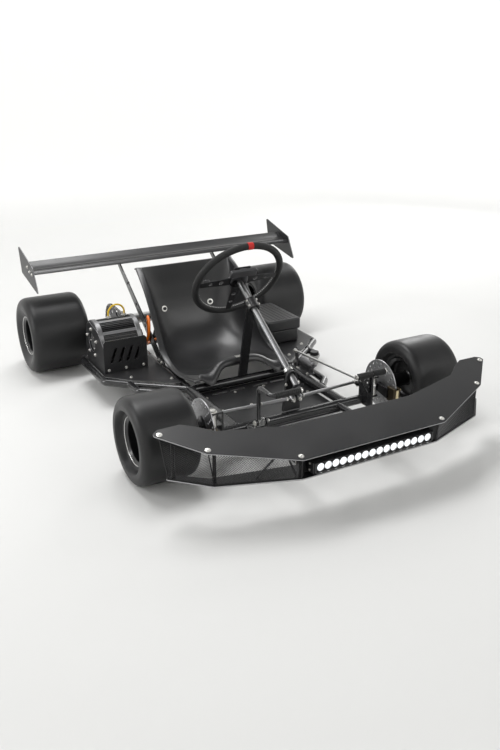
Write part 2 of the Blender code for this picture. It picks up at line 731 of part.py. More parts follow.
def column_post():
    block_r = 0.020
    hole = bore(COLUMN_R, 16)
    sleeve = turned([(block_r, 0.019), (block_r, -0.019), (hole, -0.019), (hole, 0.019)], column_matrix(POST_AT), 16)
    foot = front(0, MID_TUBE_Y, FRAME_TOP - 0.006)
    head = column_at(POST_AT, block_r - 0.002)
    neck = along(foot, head)
    way = (head - foot).normalized()
    across = Vector((1, 0, 0))
    face = way.cross(across)
    frame_matrix = Matrix((
        (across.x, face.x, way.x, foot.x), (across.y, face.y, way.y, foot.y), (across.z, face.z, way.z, foot.z), (0, 0, 0, 1)))
    length = (head - foot).length
    bm = bmesh.new()
    scale = Matrix.Diagonal((POST_W, POST_T, length, 1.0))
    bmesh.ops.create_cube(bm, size=1.0, matrix=frame_matrix @ Matrix.Translation((0, 0, length / 2)) @ scale)
    bar = mesh_object(bm)
    fuse(sleeve, bar)
    cut(sleeve, rod(front(-0.1, MID_TUBE_Y, FRAME_Z), front(0.1, MID_TUBE_Y, FRAME_Z), room(TUBE_R, 20), 20))
    place(sleeve, "column_post", "powder")


def column_foot():
    ring = 0.019
    centre = column_at(FOOT_AT)
    plate_t = 0.010
    height = centre.z - FRAME_Z
    outline = [(-0.030, -height), (0.030, -height)]
    outline += [(ring * math.cos(math.pi * i / 6), ring * math.sin(math.pi * i / 6)) for i in range(7)]
    foot = flat([outline], plate_t, Matrix.Translation(centre + Vector((0, plate_t / 2, 0))) @ Matrix.Rotation(math.pi / 2, 4, "X"))
    cut(foot, rod(column_at(FOOT_AT - 0.05), column_at(FOOT_AT + 0.05), bore(COLUMN_R, 16), 16))
    cut(foot, rod(front(-0.1, FRONT_TUBE_Y, FRAME_Z), front(0.1, FRONT_TUBE_Y, FRAME_Z), room(TUBE_R, 20), 20))
    place(foot, "column_foot", "plate")


# Front corners: a yoke welded to the front tube, with its kingpin, and the stub axle that turns on it.
def yoke(name, side):
    low = FRONT_Z - STUB_BARREL_H / 2 - GAP
    high = FRONT_Z + STUB_BARREL_H / 2 + GAP
    back, out, wall = YOKE_BACK, 0.013, YOKE_WALL
    shape = [(-back, FRAME_Z - TUBE_R), (-back + wall, FRAME_Z - TUBE_R), (-back + wall, low - wall), (out, low - wall), (out, low),
             (-back + wall, low), (-back + wall, high), (out, high), (out, high + wall), (-back, high + wall)]
    outline = [(side * u, v) for u, v in shape]
    behind, ahead = FRONT_TUBE_Y + 0.013, 0.013
    obj = flat([outline], behind + ahead, in_xz(FRONT_AXLE + behind, side * KING_X))
    pin = rod(Vector((side * KING_X, FRONT_AXLE, low - wall - 0.004)), Vector((side * KING_X, FRONT_AXLE, high + wall + 0.004)), KINGPIN_R, 12)
    nut = rod(Vector((side * KING_X, FRONT_AXLE, low - wall - 0.007)), Vector((side * KING_X, FRONT_AXLE, low - wall + 0.001)), 0.0105, 6)
    head = rod(Vector((side * KING_X, FRONT_AXLE, high + wall - 0.001)), Vector((side * KING_X, FRONT_AXLE, high + wall + 0.006)), 0.0105, 6)
    fuse(obj, pin, nut, head)
    place(obj, f"{name}_yoke", "steel")


DISC_OFF = 0.029            # kingpin to the front disc's inner face
DISC_T = 0.004
FRONT_DISC_R = 0.080
ARM_T = 0.006
ARM_Z = 0.108
CALIPER_GAP = 0.0012


def stub_axle(name, side):
    centre = Vector((side * KING_X, FRONT_AXLE, FRONT_Z))
    half = STUB_BARREL_H / 2
    hole = bore(KINGPIN_R, 14)
    barrel = turned([(STUB_BARREL_R, half), (STUB_BARREL_R, -half), (hole, -half), (hole, half)], Matrix.Translation(centre), 14)
    out = Vector((side, 0, 0))
    length = KING_TO_FACE - STUB_AXLE_SHORT
    fuse(barrel, rod(centre + out * 0.009, centre + out * length, STUB_AXLE_R, 12))
    end, waist = STEER_ARM + 0.009, STEER_ARM - 0.022
    arm = [(-side * 0.006, 0.009), (side * 0.007, 0.009), (side * 0.002, end), (-side * 0.015, end), (-side * 0.015, end - 0.012),
           (-side * 0.0065, waist)]
    pin = Vector((side * (KING_X - TIE_PIN_IN), FRONT_AXLE + STEER_ARM, ARM_Z))
    fuse(barrel, flat([arm], ARM_T, Matrix.Translation((side * KING_X, FRONT_AXLE, ARM_Z))))
    fuse(barrel, rod(pin, pin + Vector((0, 0, ARM_T + TIE_EYE_H + 0.004)), TIE_PIN_R, 8))
    low = ARM_Z + ARM_T - 0.001 - tie_eye_z()
    ball = [(TIE_PIN_R - 0.001, low), (ball_r(TIE_EYE_H / 2), low)]
    ball += [(ball_r(h), h) for h in (-TIE_EYE_H / 2, -0.0042, 0.0, 0.0042, TIE_EYE_H / 2)]
    ball += [(TIE_PIN_R - 0.001, TIE_EYE_H / 2)]
    fuse(barrel, turned(ball, Matrix.Translation((pin.x, pin.y, tie_eye_z())), 12))
    # The caliper straddles the disc ahead of the axle, on a lug from the barrel.
    near = DISC_OFF - 0.012
    far = DISC_OFF + DISC_T + 0.012
    body = block(centre + Vector((min(side * near, side * far), -0.086, -0.034)), centre + Vector((max(side * near, side * far), -0.050, 0.014)))
    lug = [(0.004, -0.014), (0.004, 0.010), (-0.058, 0.008), (-0.058, -0.026)]
    fuse(barrel, body)
    fuse(barrel, flat([lug], 0.006, in_yz(centre.x + side * 0.0148 - 0.003, centre.y, centre.z)))
    a = centre + Vector((side * (DISC_OFF - CALIPER_GAP), 0, 0))
    b = centre + Vector((side * (DISC_OFF + DISC_T + CALIPER_GAP), 0, 0))
    cut(barrel, turned_ring(a, b, FRONT_DISC_R + 0.0015, 0.040))
    place(barrel, f"{name}_stub_axle", "steel")


STUB_AXLE_SHORT = 0.050     # the stub's end short of the tyre's outer face
TIE_PIN_IN = 0.007
TIE_PIN_R = 0.004
TIE_EYE_H = 0.013           # height of the rod end's ball
TIE_EYE_T = 0.008           # thickness of the eye round it
TIE_EYE_R = 0.0115
TIE_BALL_R = 0.0072
TIE_OPEN = 0.0025           # between the pitman plate and the rod end beside it


def tie_eye_z():
    """The height of an outer rod end's ball."""
    return ARM_Z + ARM_T + TIE_EYE_H / 2


def ball_r(height):
    """The ball's radius at a height from its middle, never less than the pin's."""
    return max(math.sqrt(max(TIE_BALL_R ** 2 - height ** 2, 0.0)), TIE_PIN_R + 0.0005)


def turned_ring(a, b, outer, inner):
    """A flat ring between two points of an axle, used to cut room for a disc."""
    length = (b - a).length
    return turned([(outer, length), (outer, 0.0), (inner, 0.0), (inner, length)], along(a, b), 28)


def tie_rod(name, side):
    end = Vector((side * (KING_X - TIE_PIN_IN), FRONT_AXLE + STEER_ARM, tie_eye_z()))
    hole = bore(TIE_BALL_R, 12)
    half = TIE_EYE_T / 2
    eye = turned([(TIE_EYE_R, half), (TIE_EYE_R, -half), (hole, -half), (hole, half)], Matrix.Translation(end), 12)
    thick = 0.015
    inner = column_at(PITMAN_AT - PITMAN / 2 - TIE_OPEN - thick / 2, PITMAN_ARM, side * PITMAN_PIN_X)
    ball = rod(inner - column_way() * thick / 2, inner + column_way() * thick / 2, 0.0095, 12)
    way = (inner - end).normalized()
    neck = end + way * (TIE_EYE_R + 0.012)
    fuse(eye, rod(end + way * (TIE_EYE_R - 0.0022), neck + way * 0.001, 0.0034, 8))
    bar = rod(neck, inner - way * 0.007, TIE_ROD_R, 8)
    fuse(eye, ball, bar)
    place(eye, f"{name}_tie_rod", "powder")


def column_way():
    return Vector((0, math.cos(COLUMN_ANGLE), math.sin(COLUMN_ANGLE)))


def hole_ring(radius, count, size, start=0.0):
    """The outlines of a ring of drilled holes."""
    turns = [2 * math.pi * (i + start) / count for i in range(count)]
    return [circle(radius * math.cos(a), radius * math.sin(a), size, 5) for a in turns]


def disc(name, matrix, outer, shaft, thick, holes):
    """A drilled brake disc, its inner face at the matrix's origin."""
    hole = bore(shaft, WHEEL_STEPS)
    obj = turned([(outer, thick), (outer, 0.0), (hole, 0.0), (hole, thick)], matrix)
    drill(obj, holes, thick, matrix)
    return place(obj, name, "steel")


# Wheels: alloy rims with a deep dish and wide slick tyres.
def rim_profile(width, dish, hub_in, hub_r, hole):
    """The section of a rim as (radius, height); height 0 is its inner edge and the dish opens outwards."""
    seat, flange, wall, web = RIM_SEAT_R, RIM_FLANGE_R, 0.0035, 0.006
    return [(flange, width), (seat, width - BEAD), (seat, BEAD), (flange, 0.0), (hub_r, dish - web), (hub_r, -hub_in),
            (hole, -hub_in), (hole, dish), (seat - wall, dish), (seat - wall, width - 0.004)]


def tyre_profile(width, outer, rim_width):
    """The section of a slick tyre as (radius, height), a closed wall that sits on the rim's seats."""
    side = width / 2
    bead = rim_width / 2 - BEAD - GAP
    t = TYRE_WALL
    upper = [(outer - t - 0.003, side * 0.80), (RIM_SEAT_R + SEAT_GAP, bead), (RIM_FLANGE_R + 0.003, bead + 0.006),
             (outer - 0.036, side), (outer - 0.013, side * 0.95), (outer, side * 0.74)]
    return upper + [(r, -h) for r, h in reversed(upper)]


BEAD = 0.007                # width of a rim's flange and bead shoulder
SEAT_GAP = 0.0003
FRONT_RIM_W = 0.134
REAR_RIM_W = 0.186
HUB_R = 0.0215
DISH = 0.034                # the web's place from the rim's inner edge
WHEEL_STEPS = 20


def wheel(name, side, overall, width, diameter, rim_width, axle_y, dish, hub, shaft):
    """A rim and its tyre; both are turned by half a facet, so that a flat facet meets the ground."""
    middle = overall / 2 - width / 2
    inner_edge = middle - rim_width / 2
    flat_down = Matrix.Rotation(math.pi / WHEEL_STEPS, 4, "Z")
    hub_in, hub_r = inner_edge - hub[0], hub[1]
    profile = rim_profile(rim_width, dish, hub_in, hub_r, bore(shaft, WHEEL_STEPS))
    place(turned(profile, outward(side, inner_edge, axle_y, diameter / 2) @ flat_down), f"{name}_rim", "rim")
    section = tyre_profile(width, diameter / 2 / math.cos(math.pi / WHEEL_STEPS), rim_width)
    place(turned(section, outward(side, middle, axle_y, diameter / 2) @ flat_down), f"{name}_tyre", "rubber")


def front_wheel(name, side):
    disc_out = KING_X + DISC_OFF + DISC_T + GAP
    wheel(f"front_{name}", side, FRONT_OVER_TYRES, FRONT_TYRE_W, FRONT_TYRE_OD, FRONT_RIM_W, FRONT_AXLE, DISH, (disc_out, HUB_R), STUB_AXLE_R)
    disc_at = outward(side, KING_X + DISC_OFF, FRONT_AXLE, FRONT_Z)
    disc(f"front_{name}_disc", disc_at, FRONT_DISC_R, STUB_AXLE_R, DISC_T, hole_ring(0.062, 6, 0.008))


def rear_wheel(name, side):
    hub_end = REAR_OVER_TYRES / 2 - REAR_TYRE_W / 2 - REAR_RIM_W / 2 - 0.035
    hub = (hub_end, REAR_AXLE_R + 0.012)
    wheel(f"rear_{name}", side, REAR_OVER_TYRES, REAR_TYRE_W, REAR_TYRE_OD, REAR_RIM_W, REAR_AXLE, DISH + 0.030, hub, REAR_AXLE_R)


# Rear axle: a hollow steel axle in two bearing hangers, with its sprocket and brake disc.
def rear_axle():
    half = REAR_OVER_TYRES / 2 - 0.075
    inside = REAR_AXLE_R - 0.005
    matrix = outward(1, -half, REAR_AXLE, REAR_Z)
    axle = turned([(REAR_AXLE_R, 2 * half), (REAR_AXLE_R, 0.0), (inside, 0.0), (inside, 2 * half)], matrix, 16)
    place(axle, "rear_axle", "steel")
    disc("rear_disc", outward(1, REAR_DISC_X, REAR_AXLE, REAR_Z), REAR_DISC_R, REAR_AXLE_R, REAR_DISC_T, hole_ring(0.070, 6, 0.009))
    matrix = outward(1, -CHAIN_X - SPROCKET_T / 2, REAR_AXLE, REAR_Z)
    hole = circle(0, 0, bore(REAR_AXLE_R, 16), 16)
    sprocket = flat([teeth(SPROCKET_TEETH), hole] + hole_ring(0.045, 5, 0.012), SPROCKET_T, matrix)
    place(sprocket, "axle_sprocket", "steel")


REAR_DISC_X = 0.128
REAR_DISC_R = 0.090
REAR_DISC_T = 0.005
SPROCKET_T = 0.0045


def chain_radius(count):
    return CHAIN_PITCH / 2 / math.sin(math.pi / count)


def teeth(count):
    """A sprocket's outline, a tip and a root to each tooth."""
    pitch_r = chain_radius(count)
    points = []
    for i in range(2 * count):
        radius = pitch_r + (0.0040 if i % 2 else -0.0030)
        a = math.pi * i / count
        points.append((radius * math.cos(a), radius * math.sin(a)))
    return points


def hanger(name, side):
    """A bearing hanger that stands on the rail; the left one also carries the rear caliper."""
    r = 0.037
    base = -(REAR_Z - FRAME_TOP + 0.004)
    outline = [(-0.048, base), (0.048, base), (0.044, base + 0.016)]
    outline += [(r * math.cos(math.pi * i / 6), r * math.sin(math.pi * i / 6)) for i in range(7)]
    outline += [(-0.044, base + 0.016)]
    face = in_yz(side * RAIL_X - HANGER_T / 2, REAR_AXLE, REAR_Z)
    obj = flat([outline], HANGER_T, face)
    if side > 0:
        near, far = REAR_DISC_X - 0.016, REAR_DISC_X + REAR_DISC_T + 0.016
        body = block(rear(near, -0.100, REAR_Z + 0.004), rear(far, -0.050, REAR_Z + 0.052))
        lug = [(-0.090, 0.012), (-0.060, 0.006), (-0.020, 0.022), (-0.020, 0.034), (-0.060, 0.044), (-0.090, 0.040)]
        fuse(obj, flat([lug], 0.008, in_yz(far - 0.004, REAR_AXLE, REAR_Z)))
        tie = block(rear(far - 0.002, -0.052, REAR_Z + 0.012), rear(RAIL_X - HANGER_T / 2 + 0.004, -0.026, REAR_Z + 0.026))
        fuse(obj, body, tie)
        clear = CALIPER_GAP
        a, b = rear(REAR_DISC_X - clear, 0, REAR_Z), rear(REAR_DISC_X + REAR_DISC_T + clear, 0, REAR_Z)
        cut(obj, turned_ring(a, b, REAR_DISC_R + 0.0018, 0.040))
    drill(obj, [circle(0, 0, bore(REAR_AXLE_R, 20), 20)], HANGER_T, face)
    cut(obj, rail_cutter(side))
    place(obj, f"{name}_hanger", "alloy")


HANGER_T = 0.022


# Drive: a finned motor on the right pod with its pinion, and the chain to the axle.
def motor():
    x_in = CHAIN_X + 0.017
    matrix = Matrix.Translation(rear(-x_in, -MOTOR_AHEAD, MOTOR_Z)) @ Matrix.Rotation(-math.pi / 2, 4, "Y")
    core = MOTOR_R - 0.009
    ribs = 16
    outline = []
    for i in range(ribs):
        tall = MOTOR_R - 0.0015 if i % 2 == 0 else MOTOR_R - 0.0050
        for part, radius in ((-0.30, core), (-0.22, tall), (0.22, tall), (0.30, core)):
            a = 2 * math.pi * (i + 0.5 + part) / ribs
            outline.append((radius * math.cos(a), radius * math.sin(a)))
    end = MOTOR_LENGTH
    body = flat([outline], end - 0.012, matrix @ Matrix.Translation((0, 0, 0.006)))
    axis = Vector((-1, 0, 0))
    at = rear(-x_in, -MOTOR_AHEAD, MOTOR_Z)
    fuse(body, rod(at, at + axis * 0.018, MOTOR_R, 26), rod(at + axis * (end - 0.018), at + axis * end, MOTOR_R, 26))
    for end_point in YELLOW_ENDS:
        fuse(body, rod(end_point - Vector((0, 0, 0.012)), end_point - Vector((0, 0, GAP)), 0.006, 8))
    fuse(body, rod(ORANGE_START - Vector((0.012, 0, 0)), ORANGE_START - Vector((GAP, 0, 0)), 0.008, 8))
    cut(body, rod(at - axis * 0.01, at + axis * 0.026, bore(MOTOR_SHAFT_R, 14), 14))
    place(body, "motor", "motor")

    shaft = rod(at + axis * 0.025, rear(-CHAIN_X + 0.012, -MOTOR_AHEAD, MOTOR_Z), MOTOR_SHAFT_R, 12)
    pinion = flat([teeth(PINION_TEETH)], SPROCKET_T, outward(1, -CHAIN_X - SPROCKET_T / 2, REAR_AXLE - MOTOR_AHEAD, MOTOR_Z))
    fuse(shaft, pinion)
    place(shaft, "motor_pinion", "steel")


MOTOR_SHAFT_R = 0.008


CHAIN_LINKS_SHOWN = 5       # one roller is modelled in so many pitches


def chain():
    """Two bands of side plates round both sprockets, joined by the rollers of the straight runs."""
    big = chain_radius(SPROCKET_TEETH)
    small = chain_radius(PINION_TEETH)
    drop = MOTOR_Z - REAR_Z
    span = math.hypot(MOTOR_AHEAD, drop)
    tilt = math.atan2(drop, -MOTOR_AHEAD)
    lean = math.acos((big - small) / span)

    def loop(off):
        points = []
        steps = 11
        for i in range(steps + 1):
            a = tilt + lean + (2 * math.pi - 2 * lean) * i / steps
            points.append(((big + off) * math.cos(a), (big + off) * math.sin(a)))
        steps = 6
        for i in range(steps + 1):
            a = tilt - lean + 2 * lean * i / steps
            points.append((-MOTOR_AHEAD + (small + off) * math.cos(a), drop + (small + off) * math.sin(a)))
        return points

    band = 0.0014
    bands = []
    inner = SPROCKET_T / 2 + GAP
    for offset in (-inner - band, inner):
        bands.append(flat([loop(0.0040), loop(-0.0040)], band, in_yz(-CHAIN_X + offset, REAR_AXLE, REAR_Z)))
    obj = fuse(bands[0], bands[1])
    rollers = bmesh.new()
    clear_big = math.sqrt((big + 0.0076) ** 2 - big ** 2)
    clear_small = math.sqrt((small + 0.0076) ** 2 - small ** 2)
    for sign in (-1, 1):
        a = tilt + sign * lean
        way = Vector((0, math.cos(a), math.sin(a)))
        start = rear(-CHAIN_X, 0, REAR_Z) + way * big
        end = rear(-CHAIN_X, -MOTOR_AHEAD, MOTOR_Z) + way * small
        run = (end - start).length
        along_run = (end - start).normalized()
        pitches = int((run - clear_big - clear_small) / CHAIN_PITCH)
        for i in range(0, pitches + 1, CHAIN_LINKS_SHOWN):
            at = start + along_run * (clear_big + i * CHAIN_PITCH)
            matrix = Matrix.Translation(at) @ Matrix.Rotation(math.pi / 2, 4, "Y")
            bmesh.ops.create_cone(rollers, cap_ends=True, segments=5, radius1=0.0026, radius2=0.0026, depth=2 * inner + band, matrix=matrix)
    fuse(obj, mesh_object(rollers))
    place(obj, "drive_chain", "steel")


# Right pod: one bent sheet under, in front of and outside the motor.
def motor_plate():
    low = FRAME_TOP + GAP
    inner_x, outer_x = -(RAIL_X + 0.014), -POD_X + 0.006
    rear_y = REAR_AXLE - POD_REAR_BACK + 0.006
    base = [(inner_x, FRONT_AXLE + 0.384), (inner_x, rear_y), (outer_x, rear_y), (outer_x, FRONT_AXLE + 0.556),
            (-POD_KNEE_X, FRONT_AXLE + 0.489)]
    obj = flat([base], PLATE, in_xy(low))
    front_y = FRONT_AXLE + POD_FRONT_Y
    left_x, right_x = -0.250, -0.412
    inside = low + 0.001
    face = [(right_x + 0.0055, inside), (left_x, inside), (left_x, 0.206), (left_x - 0.008, 0.214), (right_x + 0.012, 0.214),
            (right_x + 0.0055, 0.206)]
    vents = [slot(-0.372 + 0.029 * i, 0.158, 0.010, 0.052, 0.010) for i in range(4)]
    fuse(obj, flat([face], PLATE, in_xz(front_y)))
    y0, y1 = front_y - PLATE + 0.001, REAR_AXLE - MOTOR_AHEAD + 0.060
    cheek = [(y0, inside), (y1, inside), (y1 + 0.008, 0.150), (y1 - 0.010, 0.232), (y1 - 0.040, 0.246), (y0 + 0.050, 0.232), (y0, 0.190)]
    port = circle(REAR_AXLE - MOTOR_AHEAD, MOTOR_Z, 0.034, 16)
    fuse(obj, flat([cheek], PLATE, in_yz(right_x + 0.004)))
    drill(obj, vents, PLATE, in_xz(front_y))
    drill(obj, [port], PLATE, in_yz(right_x + 0.004))
    place(obj, "motor_plate", "plate")


POD_FRONT_Y = 0.584
ORANGE_START = Vector((-(CHAIN_X + 0.009), REAR_AXLE - MOTOR_AHEAD - 0.048, MOTOR_Z - 0.016))
ORANGE_END = rear(0.2185 - 0.006, -0.245, 0.128)
YELLOW_ENDS = (
    Vector((-0.338, REAR_AXLE - MOTOR_AHEAD + 0.012, MOTOR_Z + MOTOR_R + 0.004)),
    Vector((-0.277, REAR_AXLE - MOTOR_AHEAD + 0.018, MOTOR_Z + MOTOR_R + 0.004)),
)
ORANGE_R = 0.0045
YELLOW_R = 0.0032


def cables():
    a, b = YELLOW_ENDS
    up = Vector((0, 0, 1))
    loop = [a, a + up * 0.016, a + up * 0.032 + Vector((0.012, -0.004, 0)), a + up * 0.037 + Vector((0.032, 0, 0)),
            b + up * 0.026 + Vector((-0.008, 0, 0)), b + up * 0.012, b]
    place(tube(smooth_route(loop, 2), YELLOW_R, 1), "sensor_cable", "yellow")
    s, e = ORANGE_START, ORANGE_END
    out = Vector((0.005, 0, 0))
    lead = [s, s + out, s + 2 * out, s + Vector((0.0165, -0.002, 0.020)), rear(-0.2195, -0.336, 0.220), rear(-0.2145, -0.334, 0.252),
            rear(-0.2080, -0.322, 0.252), rear(-0.2035, -0.312, 0.220), rear(-0.2035, -0.290, 0.160), rear(-0.2025, -0.270, 0.134),
            rear(-0.186, -0.240, 0.117), rear(-0.140, -0.192, 0.113), rear(-0.050, -0.180, 0.112), rear(0.060, -0.180, 0.112),
            rear(0.160, -0.205, 0.114), e - 2 * out, e - out, e]
    place(tube(smooth_route(lead, 2), ORANGE_R, 1), "power_cable", "orange")


# Left pod: the battery box on its base sheet, with a lid that overhangs.
def battery_box():
    low = FRAME_TOP + GAP
    rear_y = REAR_AXLE - POD_REAR_BACK + 0.006
    base = [(RAIL_X + 0.014, FRONT_AXLE + 0.384), (RAIL_X + 0.014, rear_y), (POD_X - 0.006, rear_y), (POD_X - 0.006, FRONT_AXLE + 0.556),
            (POD_KNEE_X, FRONT_AXLE + 0.489)]
    obj = flat([base], PLATE, in_xy(low))
    box_y0, box_y1 = FRONT_AXLE + 0.552, REAR_AXLE - POD_REAR_BACK - 0.030
    fuse(obj, block(Vector((0.224, box_y0, low + 0.001)), Vector((0.352, box_y1, 0.160)), 0.004))
    lid = block(Vector((0.219, box_y0 - 0.006, 0.146)), Vector((0.358, box_y1 + 0.006, 0.192)), 0.006)
    fuse(obj, lid)
    fuse(obj, rod(ORANGE_END + Vector((GAP, 0, 0)), ORANGE_END + Vector((0.020, 0, 0)), 0.008, 8))
    place(obj, "battery_box", "plate")


# Brake: the pull rod from the pedal, and the lever and cylinder on the left rail.
MC_X = 0.214
MC_Z = 0.126
MC_R = 0.014
LEVER_Y = 0.340
LEVER_Z = 0.110
ROD_EYE = 0.0045            # half the width of the pull rod's eyes
LEVER_PIN_Z = 0.152
LEVER_T = 0.006


def brake_line():
    arm_x = PEDAL_EAR_X - PEDAL_EAR / 2 - GAP - PEDAL_BARREL / 2
    a = front(arm_x + 0.0035 + GAP + ROD_EYE, BRAKE_PIVOT_Y, ROD_PIN_Z)
    b = front(MC_X - LEVER_T / 2 - GAP - ROD_EYE, LEVER_Y, LEVER_PIN_Z)
    obj = rod(a, b, 0.0038, 8)
    for at in (a, b):
        fuse(obj, rod(at - Vector((ROD_EYE, 0, 0)), at + Vector((ROD_EYE, 0, 0)), 0.0075, 10))
    place(obj, "brake_rod", "steel")

    pin = rod(front(MC_X - 0.011, LEVER_Y, LEVER_Z), front(MC_X + 0.011, LEVER_Y, LEVER_Z), 0.004, 8)
    lever = [(-0.008, -0.008), (0.008, -0.008), (0.007, 0.050), (0.0, 0.056), (-0.007, 0.050)]
    turning = flat([lever, circle(0, 0, bore(0.004, 8), 8)], LEVER_T, in_yz(MC_X - LEVER_T / 2, FRONT_AXLE + LEVER_Y, LEVER_Z))
    place(turning, "brake_lever", "alloy")

    body = rod(front(MC_X, 0.236, MC_Z), front(MC_X, 0.312, MC_Z), MC_R, 12)
    boot = rod(front(MC_X, 0.310, MC_Z), front(MC_X, 0.3170, MC_Z), 0.009, 8, 0.005)
    cup = rod(front(MC_X + 0.020, 0.262, MC_Z - 0.010), front(MC_X + 0.020, 0.262, MC_Z + 0.044), 0.0145, 10)
    saddle = block(front(RAIL_X - 0.002, 0.240, FRAME_Z + 0.006), front(MC_X + 0.012, 0.356, FRAME_TOP + 0.003))
    fuse(body, boot, cup, saddle)
    stand = block(front(MC_X - 0.010, 0.246, FRAME_TOP), front(MC_X + 0.010, 0.306, MC_Z - 0.006))
    fuse(body, stand)
    for side in (-1, 1):
        ear = [(-0.014, -0.014), (0.014, -0.014), (0.007, 0.007), (-0.007, 0.007)]
        x = MC_X + side * (LEVER_T / 2 + GAP) + (0.0 if side > 0 else -0.004)
        fuse(body, flat([ear], 0.004, in_yz(x, FRONT_AXLE + LEVER_Y, LEVER_Z)))
    fuse(body, pin)
    bar_y = 0.352
    brace = rod(front(RAIL_X, bar_y, SIDE_Z), front(POD_KNEE_X - 0.002, 0.482, SIDE_Z), SIDE_TUBE_R - 0.001 + GAP, 16)
    cut(body, rail_cutter(1), brace)
    place(body, "master_cylinder", "alloy")


# Wing: a cambered blade between two end plates, on two flat struts from the rails.
WING_CHORD_Y = 0.082
WING_STEPS = 7
WING_RISE = 0.028
STRUT_T = 0.005
END_PLATE = 0.004


def wing_section():
    """The blade's section in Y and Z from its leading edge: a hollowed upper side over a bowed lower side."""
    upper, lower = [], []
    for i in range(WING_STEPS + 1):
        t = i / WING_STEPS
        y = WING_CHORD_Y * t
        z = WING_RISE * t
        upper.append((y, z + 0.004 * math.sin(math.pi * min(1.0, 3.3 * t)) - 0.006 * math.sin(math.pi * max(0.0, (t - 0.25) / 0.75)) * (t > 0.25)))
        lower.append((y, z - 0.0012 - 0.019 * math.sin(math.pi * t) ** 0.8 * (1 - 0.45 * t)))
    return upper + list(reversed(lower))


def wing():
    nose = rear(0, -WING_AHEAD, WING_LOW_Z)
    blade = flat([wing_section()], 2 * WING_HALF, in_yz(-WING_HALF, nose.y, nose.z))
    place(blade, "wing_blade", "plate")
    outline = [(-0.100, -0.064), (-0.050, 0.023), (0.130, 0.067), (0.108, -0.030)]
    for name, side in SIDES.items():
        x = side * (WING_HALF + GAP) - (END_PLATE if side < 0 else 0.0)
        place(flat([outline], END_PLATE, in_yz(x, REAR_AXLE, WING_LOW_Z)), f"{name}_endplate", "plate")
        strut_x = side * RAIL_X - STRUT_T / 2
        foot_y = STRUT_FOOT_Y - WHEELBASE
        low_z = FRAME_TOP - 0.006
        top_y, top_z = -0.004, WING_LOW_Z + 0.010
        half = 0.015
        way = Vector((top_y - foot_y, top_z - low_z)).normalized()
        n = Vector((-way.y, way.x)) * half
        bar = [(foot_y - 0.030, low_z), (foot_y + 0.034, low_z), (foot_y + 0.034, low_z + 0.012), (top_y - n.x, top_z - n.y - 0.002),
               (top_y + 0.030, top_z + 0.02), (top_y + n.x, top_z + n.y), (foot_y - 0.030, low_z + 0.014)]
        holes = [circle(foot_y + (top_y - foot_y) * t, low_z + (top_z - low_z) * t, 0.006, 6) for t in (0.35, 0.55, 0.75)]
        strut = flat([bar], STRUT_T, in_yz(strut_x, REAR_AXLE, 0.0))
        cut(strut, wing_cutter(nose), rail_cutter(side))
        drill(strut, holes, STRUT_T, in_yz(strut_x, REAR_AXLE, 0.0))
        place(strut, f"{name}_wing_strut", "powder")


def wing_cutter(nose):
    """The space above the blade's lower side, so that a strut stops just under the blade."""
    lower = wing_section()[WING_STEPS + 1:]
    ring = [(y, z - GAP) for y, z in lower] + [(-0.05, -0.004), (-0.05, 0.15), (0.15, 0.15), (0.15, 0.032)]
    return flat([ring], 0.6, in_yz(-0.3, nose.y, nose.z))


STRUT_FOOT_Y = 0.590


# Nose: a sloping top plate over a lower plate on posts, a grille round the sides, and the light bar.
NOSE_HALF = ((0.2302, 0.0), (0.4516, 0.0980), (0.5509, 0.1960), (0.5480, 0.2060), (0.5320, 0.2145), (0.4700, 0.2150),
             (0.4350, 0.1960), (0.3930, 0.1640), (0.3000, 0.1440), (0.2040, 0.1240))
LOWER_HALF = ((0.2207, 0.0160), (0.4370, 0.0900), (0.5300, 0.1850), (0.5050, 0.1970), (0.4300, 0.1350), (0.2000, 0.0900))
WALL_TOP = ((0.205, 0.0300), (0.2250, 0.0130), (0.4430, 0.1090), (0.5380, 0.1990))
WALL_LOW = ((0.205, 0.0360), (0.2180, 0.0200), (0.4330, 0.0960), (0.5230, 0.1840))
LOWER_T = 0.004
LIGHT_HALF = 0.196
LIGHT_Z = 0.1425


def nose_top_z(back):
    return NOSE_EDGE_Z + math.tan(NOSE_SLOPE) * back


def nose_top():
    half = [(u, v / math.cos(NOSE_SLOPE)) for u, v in NOSE_HALF]
    matrix = Matrix.Translation((0, FRONT_AXLE - NOSE_REACH, NOSE_EDGE_Z)) @ Matrix.Rotation(NOSE_SLOPE, 4, "X") @ Matrix.Translation((0, 0, -NOSE_PLATE))
    place(flat([mirrored(half)], NOSE_PLATE, matrix), "nose_top", "plate")


POSTS = ((0.2200, 0.0300), (0.4250, 0.1120), (0.5080, 0.1810))
POST_R = 0.005


def nose_lower():
    edge = FRONT_AXLE - NOSE_REACH
    low = NOSE_FLOOR_Z
    obj = flat([mirrored(list(LOWER_HALF))], LOWER_T, in_xy(low, edge))
    for side in SIDES.values():
        for x, back in POSTS:
            under = nose_top_z(back - POST_R) - (NOSE_PLATE + GAP) / math.cos(NOSE_SLOPE)
            fuse(obj, rod(Vector((side * x, edge + back, low + LOWER_T / 2)), Vector((side * x, edge + back, under)), POST_R, 6))
    place(obj, "nose_lower", "plate")


